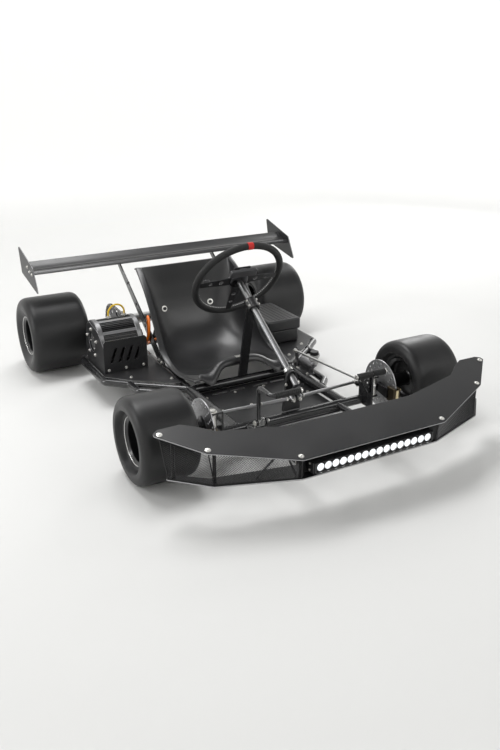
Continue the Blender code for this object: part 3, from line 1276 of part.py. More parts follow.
def nose_grille():
    """One folded sheet: the side walls and the back wall behind the light bar."""
    edge = FRONT_AXLE - NOSE_REACH
    back_wall = 0.046
    top = [(-x, y) for x, y in reversed(WALL_TOP)] + [(-0.200, back_wall), (0.200, back_wall)] + list(WALL_TOP)
    low = [(-x, y) for x, y in reversed(WALL_LOW)] + [(-0.200, back_wall), (0.200, back_wall)] + list(WALL_LOW)
    bm = bmesh.new()
    count = len(top)
    bmesh.ops.create_grid(bm, x_segments=count - 1, y_segments=1, size=1.0)
    for vert in bm.verts:
        i = round((vert.co.x + 1) / 2 * (count - 1))
        x, back = top[i] if vert.co.y > 0 else low[i]
        z = nose_top_z(back) - 0.0070 if vert.co.y > 0 else NOSE_FLOOR_Z + LOWER_T + GAP
        vert.co = Vector((x, edge + back, z))
    obj = mesh_object(bm)
    mod = obj.modifiers.new("sheet", "SOLIDIFY")
    mod.thickness = 0.0012
    mod.offset = -1
    place(obj, "nose_grille", "plate")


def light_bar():
    edge = FRONT_AXLE - NOSE_REACH
    y0, y1 = edge + 0.007, edge + 0.040
    low = NOSE_FLOOR_Z + LOWER_T + GAP
    obj = block(Vector((-LIGHT_HALF, y0, LIGHT_Z - 0.0165)), Vector((LIGHT_HALF, y1, LIGHT_Z + 0.0165)), 0.0035)
    for side in SIDES.values():
        fuse(obj, block(Vector((side * 0.160 - 0.012, y0 + 0.008, low)), Vector((side * 0.160 + 0.012, y1 - 0.004, LIGHT_Z - 0.010))))
    window = flat([rounded_box(LIGHT_HALF - 0.010, 0.0125, 0.005)], 0.004, in_xz(y0 + 0.002, 0.0, LIGHT_Z))
    fuse(obj, window)
    place(obj, "light_bar", "light")


frame()
floor_tray()
pedals()
seat()
steering_wheel()
steering_column()
column_post()
column_foot()
for side_name, side_sign in SIDES.items():
    side_bar(side_name, side_sign)
    horn(side_name, side_sign)
    seat_stay(side_name, side_sign)
    yoke(side_name, side_sign)
    stub_axle(side_name, side_sign)
    tie_rod(side_name, side_sign)
    front_wheel(side_name, side_sign)
    rear_wheel(side_name, side_sign)
    hanger(side_name, side_sign)
rear_axle()
motor()
chain()
motor_plate()
cables()
battery_box()
brake_line()
wing()
nose_top()
nose_lower()
nose_grille()
light_bar()
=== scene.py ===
"""The looks of a low electric racing kart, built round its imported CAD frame.

Metres, in the frame's own axes: the nose points along -Y, +X is the driver's left and Z is up.
"""
import json
import math

import bpy
from mathutils import Matrix, Vector
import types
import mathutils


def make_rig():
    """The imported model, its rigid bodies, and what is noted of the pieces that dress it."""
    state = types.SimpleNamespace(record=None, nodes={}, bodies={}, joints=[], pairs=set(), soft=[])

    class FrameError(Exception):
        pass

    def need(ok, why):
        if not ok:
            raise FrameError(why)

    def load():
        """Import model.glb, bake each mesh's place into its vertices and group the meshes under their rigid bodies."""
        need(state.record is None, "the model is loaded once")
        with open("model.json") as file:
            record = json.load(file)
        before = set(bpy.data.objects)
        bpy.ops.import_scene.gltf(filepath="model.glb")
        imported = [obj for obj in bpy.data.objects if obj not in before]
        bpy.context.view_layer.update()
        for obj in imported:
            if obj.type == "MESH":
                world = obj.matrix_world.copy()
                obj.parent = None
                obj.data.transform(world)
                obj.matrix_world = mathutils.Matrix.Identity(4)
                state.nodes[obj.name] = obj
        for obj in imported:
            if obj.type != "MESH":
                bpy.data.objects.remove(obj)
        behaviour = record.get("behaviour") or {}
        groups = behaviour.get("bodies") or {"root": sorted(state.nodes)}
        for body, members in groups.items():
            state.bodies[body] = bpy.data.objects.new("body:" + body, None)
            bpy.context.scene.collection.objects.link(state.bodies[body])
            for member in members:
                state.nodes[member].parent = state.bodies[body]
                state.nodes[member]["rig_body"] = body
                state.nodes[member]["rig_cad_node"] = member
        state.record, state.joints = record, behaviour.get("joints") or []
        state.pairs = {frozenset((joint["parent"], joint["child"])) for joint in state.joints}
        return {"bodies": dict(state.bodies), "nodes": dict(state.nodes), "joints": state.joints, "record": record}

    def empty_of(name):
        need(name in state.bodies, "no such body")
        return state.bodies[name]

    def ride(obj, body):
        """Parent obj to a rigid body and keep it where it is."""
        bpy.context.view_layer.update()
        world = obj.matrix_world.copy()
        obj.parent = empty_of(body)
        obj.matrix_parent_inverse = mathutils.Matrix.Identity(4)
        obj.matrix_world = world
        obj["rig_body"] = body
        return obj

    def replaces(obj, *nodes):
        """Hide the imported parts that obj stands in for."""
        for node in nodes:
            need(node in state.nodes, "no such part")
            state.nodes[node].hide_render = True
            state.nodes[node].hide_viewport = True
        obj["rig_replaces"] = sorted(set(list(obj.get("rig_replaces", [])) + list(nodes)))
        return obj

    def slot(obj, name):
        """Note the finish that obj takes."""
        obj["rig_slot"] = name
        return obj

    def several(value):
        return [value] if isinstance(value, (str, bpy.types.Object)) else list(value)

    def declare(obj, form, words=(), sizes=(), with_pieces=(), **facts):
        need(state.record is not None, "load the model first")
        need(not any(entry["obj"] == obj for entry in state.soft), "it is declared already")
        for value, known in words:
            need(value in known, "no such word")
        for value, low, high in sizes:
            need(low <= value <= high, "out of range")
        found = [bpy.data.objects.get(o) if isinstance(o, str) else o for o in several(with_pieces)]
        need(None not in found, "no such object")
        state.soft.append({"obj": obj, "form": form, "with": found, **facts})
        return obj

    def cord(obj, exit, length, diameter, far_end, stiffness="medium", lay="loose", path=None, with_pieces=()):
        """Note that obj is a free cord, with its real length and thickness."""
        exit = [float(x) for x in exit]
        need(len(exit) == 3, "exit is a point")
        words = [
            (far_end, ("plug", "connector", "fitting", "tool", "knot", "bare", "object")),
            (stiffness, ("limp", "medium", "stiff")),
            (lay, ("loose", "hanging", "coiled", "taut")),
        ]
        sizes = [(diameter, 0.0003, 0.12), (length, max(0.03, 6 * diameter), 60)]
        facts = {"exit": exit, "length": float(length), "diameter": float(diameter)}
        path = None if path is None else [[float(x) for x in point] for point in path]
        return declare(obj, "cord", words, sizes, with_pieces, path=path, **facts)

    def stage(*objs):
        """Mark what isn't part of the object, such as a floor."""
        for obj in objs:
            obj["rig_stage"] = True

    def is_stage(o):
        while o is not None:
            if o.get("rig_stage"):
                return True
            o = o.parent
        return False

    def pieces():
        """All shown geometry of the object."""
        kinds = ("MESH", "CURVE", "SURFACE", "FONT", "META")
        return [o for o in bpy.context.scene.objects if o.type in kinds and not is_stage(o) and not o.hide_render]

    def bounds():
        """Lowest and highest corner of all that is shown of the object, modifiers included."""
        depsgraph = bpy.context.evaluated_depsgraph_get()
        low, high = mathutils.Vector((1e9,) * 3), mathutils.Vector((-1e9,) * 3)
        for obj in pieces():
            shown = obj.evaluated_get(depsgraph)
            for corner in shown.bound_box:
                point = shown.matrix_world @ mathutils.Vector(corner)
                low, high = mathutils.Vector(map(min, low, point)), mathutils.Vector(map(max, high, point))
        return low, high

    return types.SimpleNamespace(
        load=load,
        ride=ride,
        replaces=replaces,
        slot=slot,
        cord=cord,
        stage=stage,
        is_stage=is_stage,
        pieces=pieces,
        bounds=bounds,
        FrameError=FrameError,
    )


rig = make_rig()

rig.load()
cad_box = [list(corner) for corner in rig.bounds()]


# Studio: the photograph's own view of the kart, on a plain pale floor that sweeps up into a wall.
# The lamps are large soft boxes, because a black kart shows its shapes by what it mirrors.
bpy.context.scene.view_settings.view_transform = "Standard"
CAMERA_TURN = math.radians(-28.97)
CAMERA_LIFT = math.radians(22.25)
CAMERA_AT = (-1.2217, -2.2724, 1.1485)
CAMERA_LENS = 39.04
to_camera = Vector((
    math.sin(CAMERA_TURN) * math.cos(CAMERA_LIFT),
    -math.cos(CAMERA_TURN) * math.cos(CAMERA_LIFT),
    math.sin(CAMERA_LIFT),
))
to_right = Vector((math.cos(CAMERA_TURN), math.sin(CAMERA_TURN), 0.0))
camera_axes = Matrix((to_right, to_camera.cross(to_right), to_camera)).transposed()
bpy.ops.object.camera_add(location=CAMERA_AT, rotation=camera_axes.to_euler())
bpy.context.object.data.lens = CAMERA_LENS
bpy.context.scene.camera = bpy.context.object


def soft_box(name, at, aim, size, power):
    """A large rectangular lamp that looks at a point."""
    facing = (Vector(aim) - Vector(at)).to_track_quat("-Z", "Y").to_euler()
    bpy.ops.object.light_add(type="AREA", location=at, rotation=facing)
    lamp = bpy.context.object
    lamp.name = name
    lamp.data.shape = "RECTANGLE"
    lamp.data.size, lamp.data.size_y = size
    lamp.data.energy = power


soft_box("overhead_box", (-0.4, 0.9, 3.0), (0.0, 0.0, 0.1), (2.2, 1.1), 62.0)
soft_box("left_strip", (2.4, 1.9, 1.7), (0.1, 0.1, 0.2), (0.4, 2.4), 20.0)
soft_box("right_strip", (-2.9, 0.6, 1.6), (0.0, 0.0, 0.2), (0.35, 2.2), 24.0)
soft_box("front_fill", (1.4, -2.8, 2.2), (0.0, -0.3, 0.2), (1.4, 1.0), 12.0)
world = bpy.data.worlds.new("studio_air")
bpy.context.scene.world = world
world.use_nodes = True
world.node_tree.nodes["Background"].inputs["Color"].default_value = (1.0, 1.0, 1.0, 1.0)
world.node_tree.nodes["Background"].inputs["Strength"].default_value = 0.22


def fresh():
    """Lets go of whatever the last step left selected."""
    bpy.ops.object.select_all(action="DESELECT")


def edit():
    """Opens the active piece in edit mode with all of it selected."""
    bpy.ops.object.mode_set(mode="EDIT")
    bpy.ops.mesh.select_all(action="SELECT")


FLOOR_RADIUS = 5.2
WALL_SWEEP = 2.0
WALL_STEPS = 10
WALL_HEIGHT = 4.6
fresh()
bpy.ops.mesh.primitive_circle_add(vertices=96, radius=FLOOR_RADIUS, fill_type="NGON")
floor = bpy.context.object
floor.name = "studio_floor"
edit()
bpy.ops.mesh.region_to_loop()
reach, height = FLOOR_RADIUS, 0.0
for step in range(1, WALL_STEPS + 1):
    angle = math.pi / 2 * step / WALL_STEPS
    next_reach = FLOOR_RADIUS + WALL_SWEEP * math.sin(angle)
    next_height = WALL_SWEEP * (1 - math.cos(angle))
    bpy.ops.mesh.extrude_region_move(TRANSFORM_OT_translate={"value": (0, 0, next_height - height)})
    bpy.ops.transform.resize(value=(next_reach / reach, next_reach / reach, 1))
    reach, height = next_reach, next_height
bpy.ops.mesh.extrude_region_move(TRANSFORM_OT_translate={"value": (0, 0, WALL_HEIGHT)})
bpy.ops.object.mode_set(mode="OBJECT")
bpy.ops.object.shade_smooth_by_angle(angle=math.radians(40))
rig.stage(floor)


# Paints, metals and rubbers: most of the kart is coated black, so each finish differs from the next
# by its gloss, its grain and the dust that it carries.
class Wire:
    """A value that flows between shader nodes and takes part in sums as a number does."""

    def __init__(self, finish, socket):
        self.finish = finish
        self.socket = socket

    def sum(self, operation, first, second):
        return self.finish.node("Math", {"operation": operation}, {0: first, 1: second})

    def __add__(self, other):
        return self.sum("ADD", self, other)

    def __radd__(self, other):
        return self.sum("ADD", self, other)

    def __sub__(self, other):
        return self.sum("SUBTRACT", self, other)

    def __rsub__(self, other):
        return self.sum("SUBTRACT", other, self)

    def __mul__(self, other):
        return self.sum("MULTIPLY", self, other)

    def __rmul__(self, other):
        return self.sum("MULTIPLY", self, other)


class Finish:
    """A Principled material and the nodes that vary it over a piece."""

    def __init__(self, name, colour, roughness, metallic=0.0, **fixed):
        self.material = bpy.data.materials.new(name)
        self.material.use_nodes = True
        self.tree = self.material.node_tree
        self.shader = self.tree.nodes["Principled BSDF"]
        self.drive("Base Color", (*colour, 1.0))
        self.drive("Roughness", roughness)
        self.drive("Metallic", metallic)
        for socket, value in fixed.items():
            self.drive(socket.replace("_", " ").title().replace("Ior", "IOR"), value)

    def drive(self, socket, value):
        self.put(self.shader.inputs[socket], value)

    def put(self, socket, value):
        if isinstance(value, Wire):
            self.tree.links.new(value.socket, socket)
        else:
            socket.default_value = value

    def node(self, kind, settings=None, sockets=None, output=0):
        """One node of a kind: its settings first, then the values or wires of its sockets."""
        made = self.tree.nodes.new("ShaderNode" + kind)
        for setting, value in (settings or {}).items():
            setattr(made, setting, value)
        for socket, value in (sockets or {}).items():
            self.put(made.inputs[socket], value)
        return Wire(self, made.outputs[output])

    def place(self, scale=(1.0, 1.0, 1.0)):
        """The piece's own coordinates, stretched."""
        spot = self.node("TexCoord", output="Object")
        return self.node("Mapping", {"vector_type": "POINT"}, {"Vector": spot, "Scale": scale})

    def grain(self, scale, detail=3.0, where=None):
        """A cloudy value about 0.5, its patches smaller as the scale goes up."""
        where = where or self.place()
        return self.node("TexNoise", None, {"Vector": where, "Scale": scale, "Detail": detail})

    def between(self, wire, low, high, to_low=0.0, to_high=1.0):
        """The wire's low to high carried to another span, and held at its ends."""
        sockets = {0: wire, 1: low, 2: high, 3: to_low, 4: to_high}
        return self.node("MapRange", {"clamp": True}, sockets)

    def mix(self, amount, first, second):
        """A colour between two, by an amount."""
        first = first if isinstance(first, Wire) else (*first, 1.0)
        second = second if isinstance(second, Wire) else (*second, 1.0)
        return self.node("Mix", {"data_type": "RGBA"}, {0: amount, 6: first, 7: second}, 2)

    def dent(self, height, distance):
        """Raises and sinks the surface by a height that runs 0 to 1 over a distance in metres."""
        bump = self.node("Bump", None, {"Height": height, "Distance": distance, "Strength": 1.0})
        self.drive("Normal", bump)


def coated(name, colour, roughness, peel_scale, peel, metallic=0.0, **fixed):
    """A baked-on coat: orange peel, uneven gloss, and a trace of dust on what faces up."""
    finish = Finish(name, colour, roughness, metallic, **fixed)
    cloud = finish.grain(9.0, 5.0)
    speck = finish.grain(420.0, 2.0)
    up = finish.node("SeparateXYZ", None, {0: finish.node("NewGeometry", output="Normal")}, "Z")
    dust = finish.between(up, 0.3, 1.0, 0.0, 0.5) * finish.between(cloud, 0.45, 0.7)
    pale = tuple(0.6 * part + 0.017 for part in colour)
    finish.drive("Base Color", finish.mix(dust * finish.between(speck, 0.35, 0.7), colour, pale))
    finish.drive("Roughness", roughness - 0.05 + cloud * 0.10 + dust * 0.10)
    finish.dent(finish.grain(peel_scale, 2.0), peel)
    return finish


floor_paint = Finish("studio_paper", (0.74, 0.74, 0.73), 0.75)
floor_paint.drive("Roughness", 0.70 + floor_paint.grain(3.0, 2.0) * 0.1)
away = floor_paint.node("VectorMath", {"operation": "LENGTH"}, {0: floor_paint.place()}, 1)
rise = floor_paint.between(away, 1.5, 4.6)
floor_paint.drive("Emission Color", floor_paint.mix(rise, (0.0, 0.0, 0.0), (1.0, 1.0, 0.99)))
floor_paint.drive("Emission Strength", 0.46)
floor.data.materials.append(floor_paint.material)
powder = coated("satin_powder_coat", (0.0105, 0.0105, 0.0115), 0.25, 650.0, 0.00008, coat_weight=0.4,
                coat_roughness=0.10)
sheet_coat = coated("textured_sheet_coat", (0.0150, 0.0150, 0.0160), 0.38, 1300.0, 0.00008,
                    specular_ior_level=0.38)


def brushed(name, colour, roughness, stretch, metallic=1.0):
    """Machined metal: fine scratches drawn out along the tool's way, with darker smears."""
    finish = Finish(name, colour, roughness, metallic)
    scratch = finish.grain(60.0, 4.0, finish.place(scale=stretch))
    smear = finish.grain(22.0, 3.0)
    dull = tuple(0.88 * part for part in colour)
    finish.drive("Base Color", finish.mix(finish.between(smear, 0.48, 0.75), colour, dull))
    finish.drive("Roughness", roughness + finish.between(scratch, 0.3, 0.7, -0.03, 0.06))
    finish.dent(scratch, 0.000004)
    return finish


steel = brushed("bright_steel", (0.58, 0.58, 0.57), 0.34, (1.0, 14.0, 14.0))
shaft_steel = brushed("ground_shaft_steel", (0.27, 0.27, 0.275), 0.33, (8.0, 8.0, 1.0))
dark_steel = brushed("blackened_steel", (0.055, 0.055, 0.058), 0.32, (1.0, 10.0, 10.0))
alloy = brushed("grey_alloy", (0.20, 0.20, 0.205), 0.34, (6.0, 6.0, 1.0))
zinc = brushed("zinc_bolt", (0.72, 0.71, 0.68), 0.28, (8.0, 8.0, 8.0))


def cast_rubber(name, colour, roughness, scale, dust_amount):
    """Rubber: a dull colour with fine pores and thin clouds of pale dust."""
    finish = Finish(name, colour, roughness, specular_ior_level=0.36)
    pores = finish.grain(scale, 4.0)
    cloud = finish.grain(14.0, 4.0)
    dust = finish.between(cloud, 0.48, 0.72) * dust_amount
    pale = tuple(0.5 * part + 0.034 for part in colour)
    finish.drive("Base Color", finish.mix(dust * finish.between(pores, 0.3, 0.7), colour, pale))
    finish.drive("Roughness", roughness - 0.06 + pores * 0.12 + dust * 0.2)
    finish.dent(pores, 0.00012)
    return finish


laminate = coated("seat_laminate", (0.0150, 0.0150, 0.0160), 0.36, 300.0, 0.00006, coat_weight=0.35,
                  coat_roughness=0.28)
rubber = cast_rubber("slick_tyre_rubber", (0.0125, 0.0125, 0.0130), 0.40, 900.0, 0.35)
black_rubber = cast_rubber("moulded_black_rubber", (0.0130, 0.0130, 0.0132), 0.48, 1500.0, 0.2)
grip = cast_rubber("wheel_grip_suede", (0.0130, 0.0130, 0.0132), 0.62, 2600.0, 0.3)
red_band = cast_rubber("red_wheel_band", (0.52, 0.016, 0.012), 0.55, 2200.0, 0.1)
rim_coat = coated("deep_black_rim", (0.0095, 0.0095, 0.0100), 0.30, 900.0, 0.00006, metallic=0.3,
                  coat_weight=0.3, coat_roughness=0.12)
bright_lip = brushed("bare_rim_lip", (0.66, 0.66, 0.65), 0.22, (1.0, 1.0, 18.0))
disc_steel = brushed("ground_disc_steel", (0.46, 0.46, 0.47), 0.42, (1.0, 8.0, 8.0))
caliper_alloy = coated("dark_bronze_caliper", (0.060, 0.047, 0.030), 0.34, 700.0, 0.00005, metallic=0.85)
yellow_zinc = brushed("yellow_zinc", (0.74, 0.63, 0.40), 0.28, (8.0, 8.0, 8.0))
display_grey = coated("display_grey", (0.060, 0.060, 0.063), 0.34, 1300.0, 0.00004, metallic=0.4)
motor_black = coated("motor_black", (0.0130, 0.0130, 0.0140), 0.34, 1100.0, 0.00008)
motor_alloy = brushed("cast_motor_alloy", (0.24, 0.24, 0.245), 0.40, (10.0, 1.0, 10.0))
# A pale metal for the faces across the sheets' thickness: a painted highlight along the plate edges.
edge_highlight_metal = brushed("bare_cut_edge", (0.42, 0.42, 0.43), 0.30, (5.0, 5.0, 5.0))
chain_steel = brushed("oiled_chain_steel", (0.17, 0.16, 0.145), 0.26, (4.0, 4.0, 4.0))
plastic = coated("black_plastic", (0.0140, 0.0140, 0.0150), 0.36, 1800.0, 0.00010)
pale_plastic = coated("pale_grey_plastic", (0.46, 0.46, 0.45), 0.34, 1500.0, 0.00004)
orange = coated("orange_cable_jacket", (0.80, 0.17, 0.008), 0.36, 800.0, 0.00005)
yellow = coated("yellow_cable_jacket", (0.72, 0.47, 0.012), 0.36, 800.0, 0.00005)
screen = Finish("dark_glass", (0.006, 0.007, 0.009), 0.06, 0.0, coat_weight=0.6, coat_roughness=0.03)
screen.drive("Roughness", 0.05 + screen.grain(40.0, 2.0) * 0.05)
lens = Finish("white_lens", (0.88, 0.90, 0.92), 0.12, 0.0, coat_weight=0.5, coat_roughness=0.05)
lens.drive("Emission Color", (0.86, 0.92, 1.0, 1.0))
lens.drive("Emission Strength", 0.75)
lens.drive("Roughness", 0.10 + lens.grain(300.0, 2.0) * 0.08)
mirror = brushed("lamp_reflector", (0.80, 0.80, 0.80), 0.12, (3.0, 3.0, 3.0))
mesh_wire = coated("coated_expanded_metal", (0.0150, 0.0150, 0.0160), 0.30, 1500.0, 0.00003)


# The way a piece is finished: its last modifiers are applied, round faces are shaded smooth, and it
# takes its name, its finish and the body that carries it.
def done(piece, name, body, finish, slot, *nodes, angle=36.0):
    fresh()
    piece.select_set(True)
    bpy.context.view_layer.objects.active = piece
    bpy.ops.object.convert(target="MESH")
    bpy.ops.object.transform_apply(location=True, rotation=True, scale=True)
    bpy.ops.object.shade_smooth_by_angle(angle=math.radians(angle))
    level = piece.modifiers.new("level", "WEIGHTED_NORMAL")
    level.keep_sharp = True
    bpy.ops.object.convert(target="MESH")
    piece.name = name
    piece.data.name = name
    piece.data.materials.clear()
    piece.data.materials.append(finish.material)
    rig.ride(piece, body)
    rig.slot(piece, slot)
    if nodes:
        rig.replaces(piece, *nodes)
    return piece


def round_edges(piece, width, segments=2, limit=40.0):
    """A small round on every edge that is sharper than a limit in degrees."""
    rounding = piece.modifiers.new("edges", "BEVEL")
    rounding.width = width
    rounding.segments = segments
    rounding.limit_method = "ANGLE"
    rounding.angle_limit = math.radians(limit)
    rounding.harden_normals = False


# Frame: drawn steel tubes, welded where they meet and then powder coated. Each tube is one bar between
# its ends, and a rippled bead of weld runs round each joint.
FRONT_AXLE, REAR_AXLE = -0.360, 0.620
TUBE, FRAME_Z, RAIL_X = 0.015, 0.080, 0.195
SIDES = (("right", -1), ("left", 1))


def only(piece):
    """Makes a piece the one that the next step works on."""
    fresh()
    piece.select_set(True)
    bpy.context.view_layer.objects.active = piece
    return piece


def facing(at, way):
    """The matrix of a part whose Z looks along a way from a point."""
    return Matrix.Translation(at) @ Vector(way).to_track_quat("Z", "Y").to_matrix().to_4x4()


def bar(start, end, radius, sides=32, end_radius=None):
    """A round bar or a cone between two points."""
    start, end = Vector(start), Vector(end)
    way = end - start
    fresh()
    far_radius = radius if end_radius is None else end_radius
    bpy.ops.mesh.primitive_cone_add(
        vertices=sides, radius1=radius, radius2=far_radius, depth=way.length,
        location=(start + end) / 2, rotation=way.to_track_quat("Z", "Y").to_euler(),
    )
    bpy.ops.object.transform_apply(location=True, rotation=True, scale=True)
    return bpy.context.object


def joined(*pieces):
    """Several parts as one piece."""
    fresh()
    for piece in pieces:
        piece.select_set(True)
    bpy.context.view_layer.objects.active = pieces[0]
    if len(pieces) > 1:
        bpy.ops.object.join()
    return bpy.context.object


def drawn(routes, closed, flat=False, swell=None, **bevel):
    """A curve through the points of each route, made a mesh once its bevel is set."""
    curve = bpy.data.curves.new("drawn", "CURVE")
    curve.dimensions = "2D" if flat else "3D"
    if flat:
        curve.fill_mode = "BOTH"
    for setting, value in bevel.items():
        setattr(curve, setting, value)
    for route in routes:
        spline = curve.splines.new("POLY")
        spline.points.add(len(route) - 1)
        for i, at in enumerate(route):
            spline.points[i].co = (at[0], at[1], 0.0 if flat else at[2], 1.0)
            spline.points[i].radius = swell[i] if swell else 1.0
        spline.use_cyclic_u = closed
    piece = bpy.data.objects.new("drawn", curve)
    bpy.context.collection.objects.link(piece)
    only(piece)
    bpy.ops.object.convert(target="MESH")
    piece = bpy.context.object
    edit()
    bpy.ops.mesh.remove_doubles(threshold=0.00001)
    bpy.ops.object.mode_set(mode="OBJECT")
    return piece


def tube(route, radius, swell=None, closed=False, fineness=5):
    """A round bar along a route."""
    return drawn([route], closed, swell=swell, bevel_depth=radius, bevel_resolution=fineness,
                 use_fill_caps=not closed)


def rounded(points, radius, steps=5, closed=True):
    """A route or an outline with its corners bent to a radius."""
    points = [Vector((*point, 0.0)[:3]) for point in points]
    made = []
    for i, corner in enumerate(points):
        if not closed and i in (0, len(points) - 1):
            made.append(corner)
            continue
        to_a, to_b = points[i - 1] - corner, points[(i + 1) % len(points)] - corner
        turn = to_a.angle(to_b)
        if turn > math.radians(176):
            made.append(corner)
            continue
        reach = min(radius / math.tan(turn / 2), to_a.length * 0.49, to_b.length * 0.49)
        a, b = corner + to_a.normalized() * reach, corner + to_b.normalized() * reach
        for step in range(steps + 1):
            t = step / steps
            made.append((1 - t) ** 2 * a + 2 * t * (1 - t) * corner + t * t * b)
    return made


BEAD = 0.0019


def weld(centre, run, run_radius, branch, branch_radius):
    """The bead where a branch tube that leaves a centre meets the skin of the tube it is welded to."""
    centre, run, branch = Vector(centre), Vector(run).normalized(), Vector(branch).normalized()
    across = branch.cross(run).normalized()
    over = across.cross(branch)
    flat_branch = branch - run * branch.dot(run)
    route, swell = [], []
    count = 48
    for i in range(count):
        angle = 2 * math.pi * i / count
        off = (over * math.cos(angle) + across * math.sin(angle)) * branch_radius
        flat_off = off - run * off.dot(run)
        a = flat_branch.length_squared
        b = 2 * flat_branch.dot(flat_off)
        c = flat_off.length_squared - run_radius ** 2
        out = (-b + math.sqrt(max(b * b - 4 * a * c, 0.0))) / (2 * a)
        route.append(centre + branch * out + off)
        swell.append(1.0 + 0.28 * math.sin(angle * count / 4))
    return tube(route, BEAD, swell, closed=True, fineness=2)


front_y, mid_y, rear_y = FRONT_AXLE + 0.020, -0.010, 0.510
for name, half, y in (("front", 0.2567, front_y), ("mid", RAIL_X, mid_y), ("rear", RAIL_X, rear_y)):
    cross = bar((-half, y, FRAME_Z), (half, y, FRAME_Z), TUBE, 40)
    done(cross, f"{name}_cross_tube", "frame", powder, "frame_powder", f"{name}_tube")
beads = []
for name, side in SIDES:
    x = side * RAIL_X
    rail = bar((x, front_y, FRAME_Z), (x, REAR_AXLE + 0.041, FRAME_Z), TUBE, 40)
    plug = bar((x, REAR_AXLE + 0.041, FRAME_Z), (x, REAR_AXLE + 0.045, FRAME_Z), TUBE, 40, TUBE - 0.003)
    done(joined(rail, plug), f"{name}_main_rail", "frame", powder, "frame_powder", f"{name}_rail")
    beads.append(weld((x, front_y, FRAME_Z), (1, 0, 0), TUBE, (0, 1, 0), TUBE * 0.98))
    for y in (mid_y, rear_y):
        beads.append(weld((x, y, FRAME_Z), (0, 1, 0), TUBE, (-side, 0, 0), TUBE * 0.98))

SIDE_Z, POD_X, KNEE_X, SIDE_TUBE = 0.0825, 0.422, 0.352, 0.0125
for name, side in SIDES:
    corners = [(RAIL_X, -0.205), (0.241, -0.155), (0.251, -0.025), (KNEE_X, 0.061), (KNEE_X, 0.125),
               (POD_X, 0.190), (POD_X, 0.430), (RAIL_X, 0.430)]
    route = rounded([(side * x, y, SIDE_Z) for x, y in corners], 0.024, 7, closed=False)
    hoop = tube(route, SIDE_TUBE, fineness=7)
    brace = bar((side * RAIL_X, -0.008, SIDE_Z), (side * (KNEE_X - 0.002), 0.122, SIDE_Z), SIDE_TUBE - 0.001)
    cross = bar((side * RAIL_X, 0.215, SIDE_Z), (side * POD_X, 0.215, SIDE_Z), SIDE_TUBE - 0.001)
    done(joined(hoop, brace, cross), f"{name}_pod_hoop", "frame", powder, "frame_powder", f"{name}_side_bar")
    for y, way, size in ((-0.205, (0.046, 0.050), SIDE_TUBE), (0.430, (1, 0), SIDE_TUBE),
                         (-0.008, (0.155, 0.130), SIDE_TUBE - 0.001), (0.215, (1, 0), SIDE_TUBE - 0.001)):
        beads.append(weld((side * RAIL_X, y, FRAME_Z + 0.0025), (0, 1, 0), TUBE,
                          (side * way[0], way[1], 0.0), size))
    beads.append(weld((side * POD_X, 0.215, SIDE_Z), (0, 1, 0), SIDE_TUBE, (-side, 0, 0), SIDE_TUBE - 0.001))
done(joined(*beads), "frame_weld_beads", "frame", powder, "frame_powder", angle=60)


# Horns: two tubes that reach forward under the nose. Each carries the flat ear and the pin that a
# pedal swings on, and steel clips at its end hold the nose's lower plate.
def sheet(outlines, thickness, matrix, edge=0.0005):
    """Sheet cut to its first outline, with the others cut out; its thickness runs up the matrix's Z."""
    piece = drawn(outlines, True, flat=True, extrude=thickness / 2 - edge, bevel_depth=edge,
                  bevel_resolution=1, offset=-edge)
    piece.data.transform(matrix @ Matrix.Translation((0, 0, thickness / 2)))
    return piece


def box(low, high, edge=0.0, segments=2):
    """A block between two corners, its edges rounded."""
    low, high = Vector(low), Vector(high)
    fresh()
    bpy.ops.mesh.primitive_cube_add(size=1, location=(low + high) / 2, scale=[abs(a) for a in high - low])
    bpy.ops.object.transform_apply(location=True, rotation=True, scale=True)
    piece = bpy.context.object
    if edge:
        round_edges(piece, edge, segments)
        bpy.ops.object.convert(target="MESH")
        piece = bpy.context.object
    return piece


def oblong(half_u, half_v):
    """The corners of a rectangle round the origin."""
    return [(-half_u, -half_v), (half_u, -half_v), (half_u, half_v), (-half_u, half_v)]


def circle(u, v, radius, sides=24):
    """The points of a circle round u and v."""
    return [(u + radius * math.cos(2 * math.pi * i / sides), v + radius * math.sin(2 * math.pi * i / sides))
            for i in range(sides)]


def in_yz(x, y=0.0, z=0.0):
    """The matrix of a plate drawn in Y and Z, its thickness along +X from x."""
    return Matrix.Translation((x, y, z)) @ Matrix(((0, 0, 1, 0), (1, 0, 0, 0), (0, 1, 0, 0), (0, 0, 0, 1)))


def in_xz(y, x=0.0, z=0.0):
    """The matrix of a plate drawn in X and Z, its thickness along -Y from y."""
    return Matrix.Translation((x, y, z)) @ Matrix.Rotation(math.pi / 2, 4, "X")


def lathe(profile, matrix, steps=64):
    """A turned part: a closed profile of (radius, height) taken round the matrix's Z."""
    piece = drawn([[(r, 0.0, h) for r, h in profile]], True)
    turn = piece.modifiers.new("turn", "SCREW")
    turn.steps = turn.render_steps = steps
    turn.use_merge_vertices = True
    turn.merge_threshold = 0.000002
    bpy.ops.object.modifier_apply(modifier="turn")
    edit()
    bpy.ops.mesh.remove_doubles(threshold=0.000002)
    bpy.ops.mesh.normals_make_consistent(inside=False)
    bpy.ops.object.mode_set(mode="OBJECT")
    piece.data.transform(matrix)
    return piece


def cap_screw(at, way, radius=0.0042, height=0.0042, washer=True):
    """A socket screw's head on its washer, looking along a way."""
    r, h = radius, height
    head = [(0, 0), (r, 0), (r, h * 0.82), (r * 0.88, h), (r * 0.55, h), (r * 0.5, h * 0.35), (0, h * 0.35)]
    made = lathe([(a, b + (0.0008 if washer else 0.0)) for a, b in head], facing(at, way), 18)
    if washer:
        rim = [(0, 0), (r * 1.5, 0), (r * 1.5, 0.0006), (r * 1.42, 0.0009), (0, 0.0009)]
        made = joined(made, lathe(rim, facing(at, way), 20))
    return made


